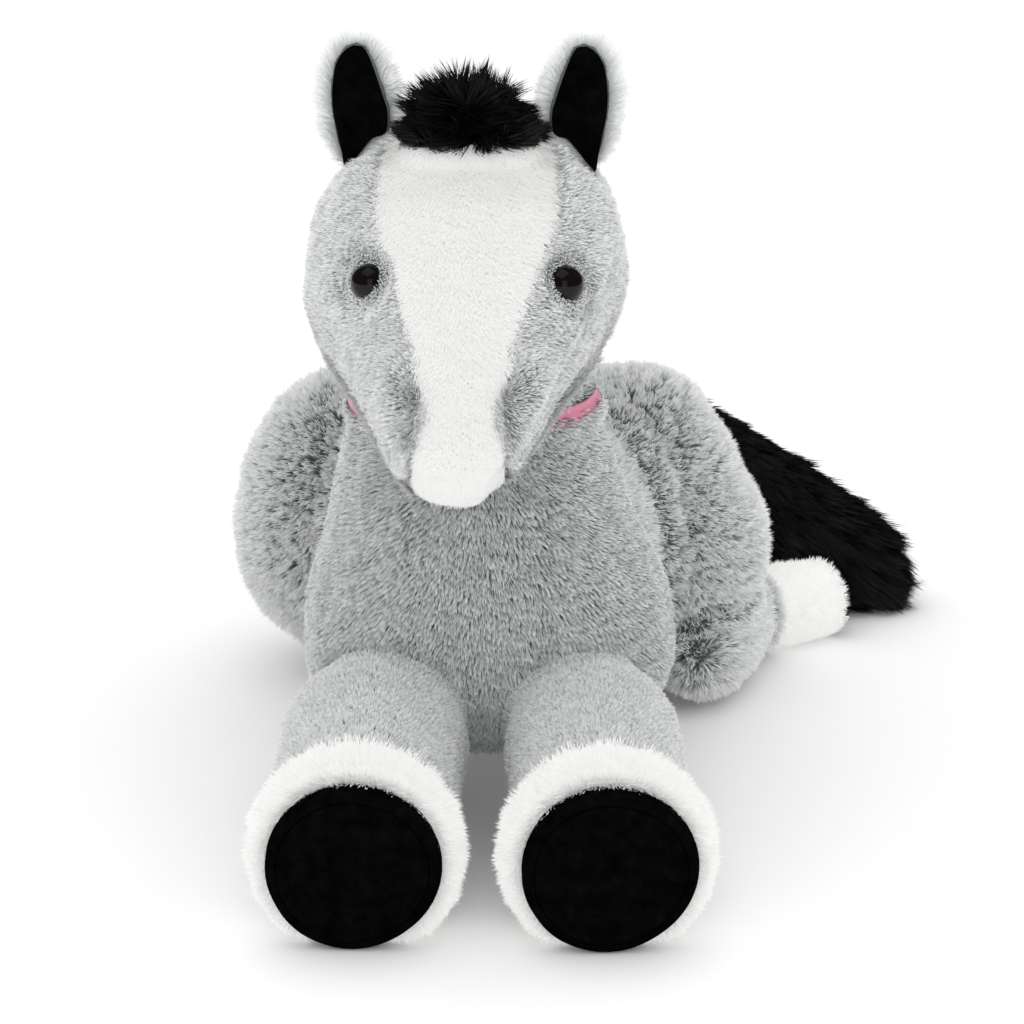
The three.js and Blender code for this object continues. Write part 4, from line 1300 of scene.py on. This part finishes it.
class HORSE_OT_hair(HorseOperator):
    """Forelock and mane"""

    bl_idname = "horse.hair"
    bl_label = "Forelock and mane"

    def make(self, context):
        low, high = (np.array(c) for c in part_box("forelock"))
        centre = (low + high) / 2
        centre[2] = low[2] + 6 * MM

        def apart(points):
            return points - centre + LOCK_TURN * np.sin(points[:, [1, 2, 0]] * LOCK_WAVES)

        def trim(points):
            off = unit(points - centre)
            return 1.0 - 0.4 * smoothstep(-off[:, 2], -0.1, 0.6) - 0.2 * np.abs(off[:, 0])

        def down(points):
            return np.array([0.0, 0.35, -1.0]) + (points - points.mean(axis=0)) * (18.0 * SIDEWAYS)

        black_part("forelock_tuft", "forelock", 2.4, "hair", depth=13.0, way=apart, lean=1.1, trim=trim)
        for node in ("mane_upper", "mane_lower"):
            black_part(node + "_tuft", node, 2.6, "mane", depth=6.0, way=down, lean=0.8)


class HORSE_OT_tail(HorseOperator):
    """Tail of long black pile"""

    bl_idname = "horse.tail"
    bl_label = "Tail"

    def make(self, context):
        def trim(points):
            far = np.linalg.norm(points - np.array(JOINT_AT["tail_swing"]), axis=1)
            return 0.6 + 0.4 * smoothstep(far, 25 * MM, 70 * MM) + 0.8 * smoothstep(far, 170 * MM, 215 * MM)

        way = steady(1.0, -0.1, -0.7)
        black_part("tail_tuft", "tail_pile", 3.2, "tail", depth=7.0, way=way, lean=2.0, trim=trim)


# thickness of the ribbon's cloth; the narrowest cloth that can be declared
RIBBON_WALL = 0.6 * MM
# a distance from the neck's axis that lies outside the ribbon
OUTSIDE = 0.12


class HORSE_OT_ribbon(HorseOperator):
    """Satin ribbon round the neck"""

    bl_idname = "horse.ribbon"
    bl_label = "Ribbon"

    def make(self, context):
        low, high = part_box("neck_ribbon")
        tree = tree_of(["neck_ribbon"])
        neck = JOINT_AT["neck_turn"]
        count, rows = 160, 8
        angles = [2 * math.pi * j / count for j in range(count)]
        points = []
        for i in range(rows + 1):
            height = low.z + (high.z - low.z) * i / rows
            level = min(max(height, low.z + 0.2 * MM), high.z - 0.2 * MM)
            radii = []
            for angle in angles:
                way = Vector((math.cos(angle), math.sin(angle), 0.0))
                start = Vector((neck.x, neck.y, level)) + way * OUTSIDE
                hit = tree.ray_cast(start, -way)[0]
                radii.append((hit - start + way * OUTSIDE).length if hit else radii[-1])
            radii = np.array(radii)
            for _ in range(12):
                radii = 0.5 * radii + 0.25 * (np.roll(radii, 1) + np.roll(radii, -1))
            for angle, radius in zip(angles, radii):
                ripple = 0.25 * MM * math.sin(9 * angle) * math.sin(math.pi * i / rows)
                r = radius - RIBBON_WALL + ripple
                points.append((neck.x + math.cos(angle) * r, neck.y + math.sin(angle) * r, height))
        piece = linked("ribbon", mesh_of("ribbon", points, quads(rows, count)))
        walled(piece, RIBBON_WALL)
        base = (*colours().ribbon, 1.0)

        def paint(graph):
            waves = {"Vector": graph.place(), "Scale": 700.0}
            weave = graph.node("ShaderNodeTexWave", {"bands_direction": "Z"}, waves)
            return {
                "Base Color": base,
                "Roughness": 0.35 + weave * 0.2,
                "Normal": graph.bump(0.3, 0.2 * MM, weave),
            }

        finished(piece, "neck_ribbon", finish_of("ribbon_satin", paint))


class HORSE_OT_washers(HorseOperator):
    """Finishes the hidden locking washers"""

    bl_idname = "horse.washers"
    bl_label = "Washers"

    def make(self, context):
        def paint(graph):
            return {"Base Color": (0.85, 0.84, 0.8, 1.0), "Roughness": 0.4 + graph.noise(200.0) * 0.15}

        for label in SIDES:
            washer = frame["nodes"][f"eye_{label}_washer"]
            washer.data.materials.clear()
            washer.data.materials.append(finish_of("washer_plastic", paint))


class HORSE_PT_parts(Panel):
    """Lists the parts of the horse and their settings"""

    bl_idname = "HORSE_PT_parts"
    bl_label = "Plush horse"
    bl_space_type = "VIEW_3D"
    bl_region_type = "UI"
    bl_category = "Horse"

    def draw(self, context):
        for operator in OPERATORS:
            self.layout.operator(operator.bl_idname)
        for group in (context.scene.horse_pile, context.scene.horse_colours, context.scene.horse_studio):
            for name in group.__annotations__:
                self.layout.prop(group, name)


OPERATORS = (
    HORSE_OT_studio,
    HORSE_OT_torso,
    HORSE_OT_hind_legs,
    HORSE_OT_front_legs,
    HORSE_OT_head,
    HORSE_OT_eyes,
    HORSE_OT_washers,
    HORSE_OT_ears,
    HORSE_OT_hair,
    HORSE_OT_tail,
    HORSE_OT_ribbon,
)
GROUPS = {"horse_pile": HorsePile, "horse_colours": HorseColours, "horse_studio": HorseStudio}
CLASSES = (*GROUPS.values(), *OPERATORS, HORSE_PT_parts)


def register():
    for kind in CLASSES:
        bpy.utils.register_class(kind)
    for name, kind in GROUPS.items():
        setattr(bpy.types.Scene, name, PointerProperty(type=kind))


def unregister():
    for name in GROUPS:
        delattr(bpy.types.Scene, name)
    for kind in reversed(CLASSES):
        bpy.utils.unregister_class(kind)


def main():
    register()
    for name, tuft in TUFTS.items():
        strands(name, *tuft)
    for operator in OPERATORS:
        group, name = operator.bl_idname.split(".")
        getattr(getattr(bpy.ops, group), name)()
    for name in TUFTS:
        bpy.data.objects.remove(bpy.data.objects[name])
    bpy.context.view_layer.update()


if __name__ == "__main__":
    main()
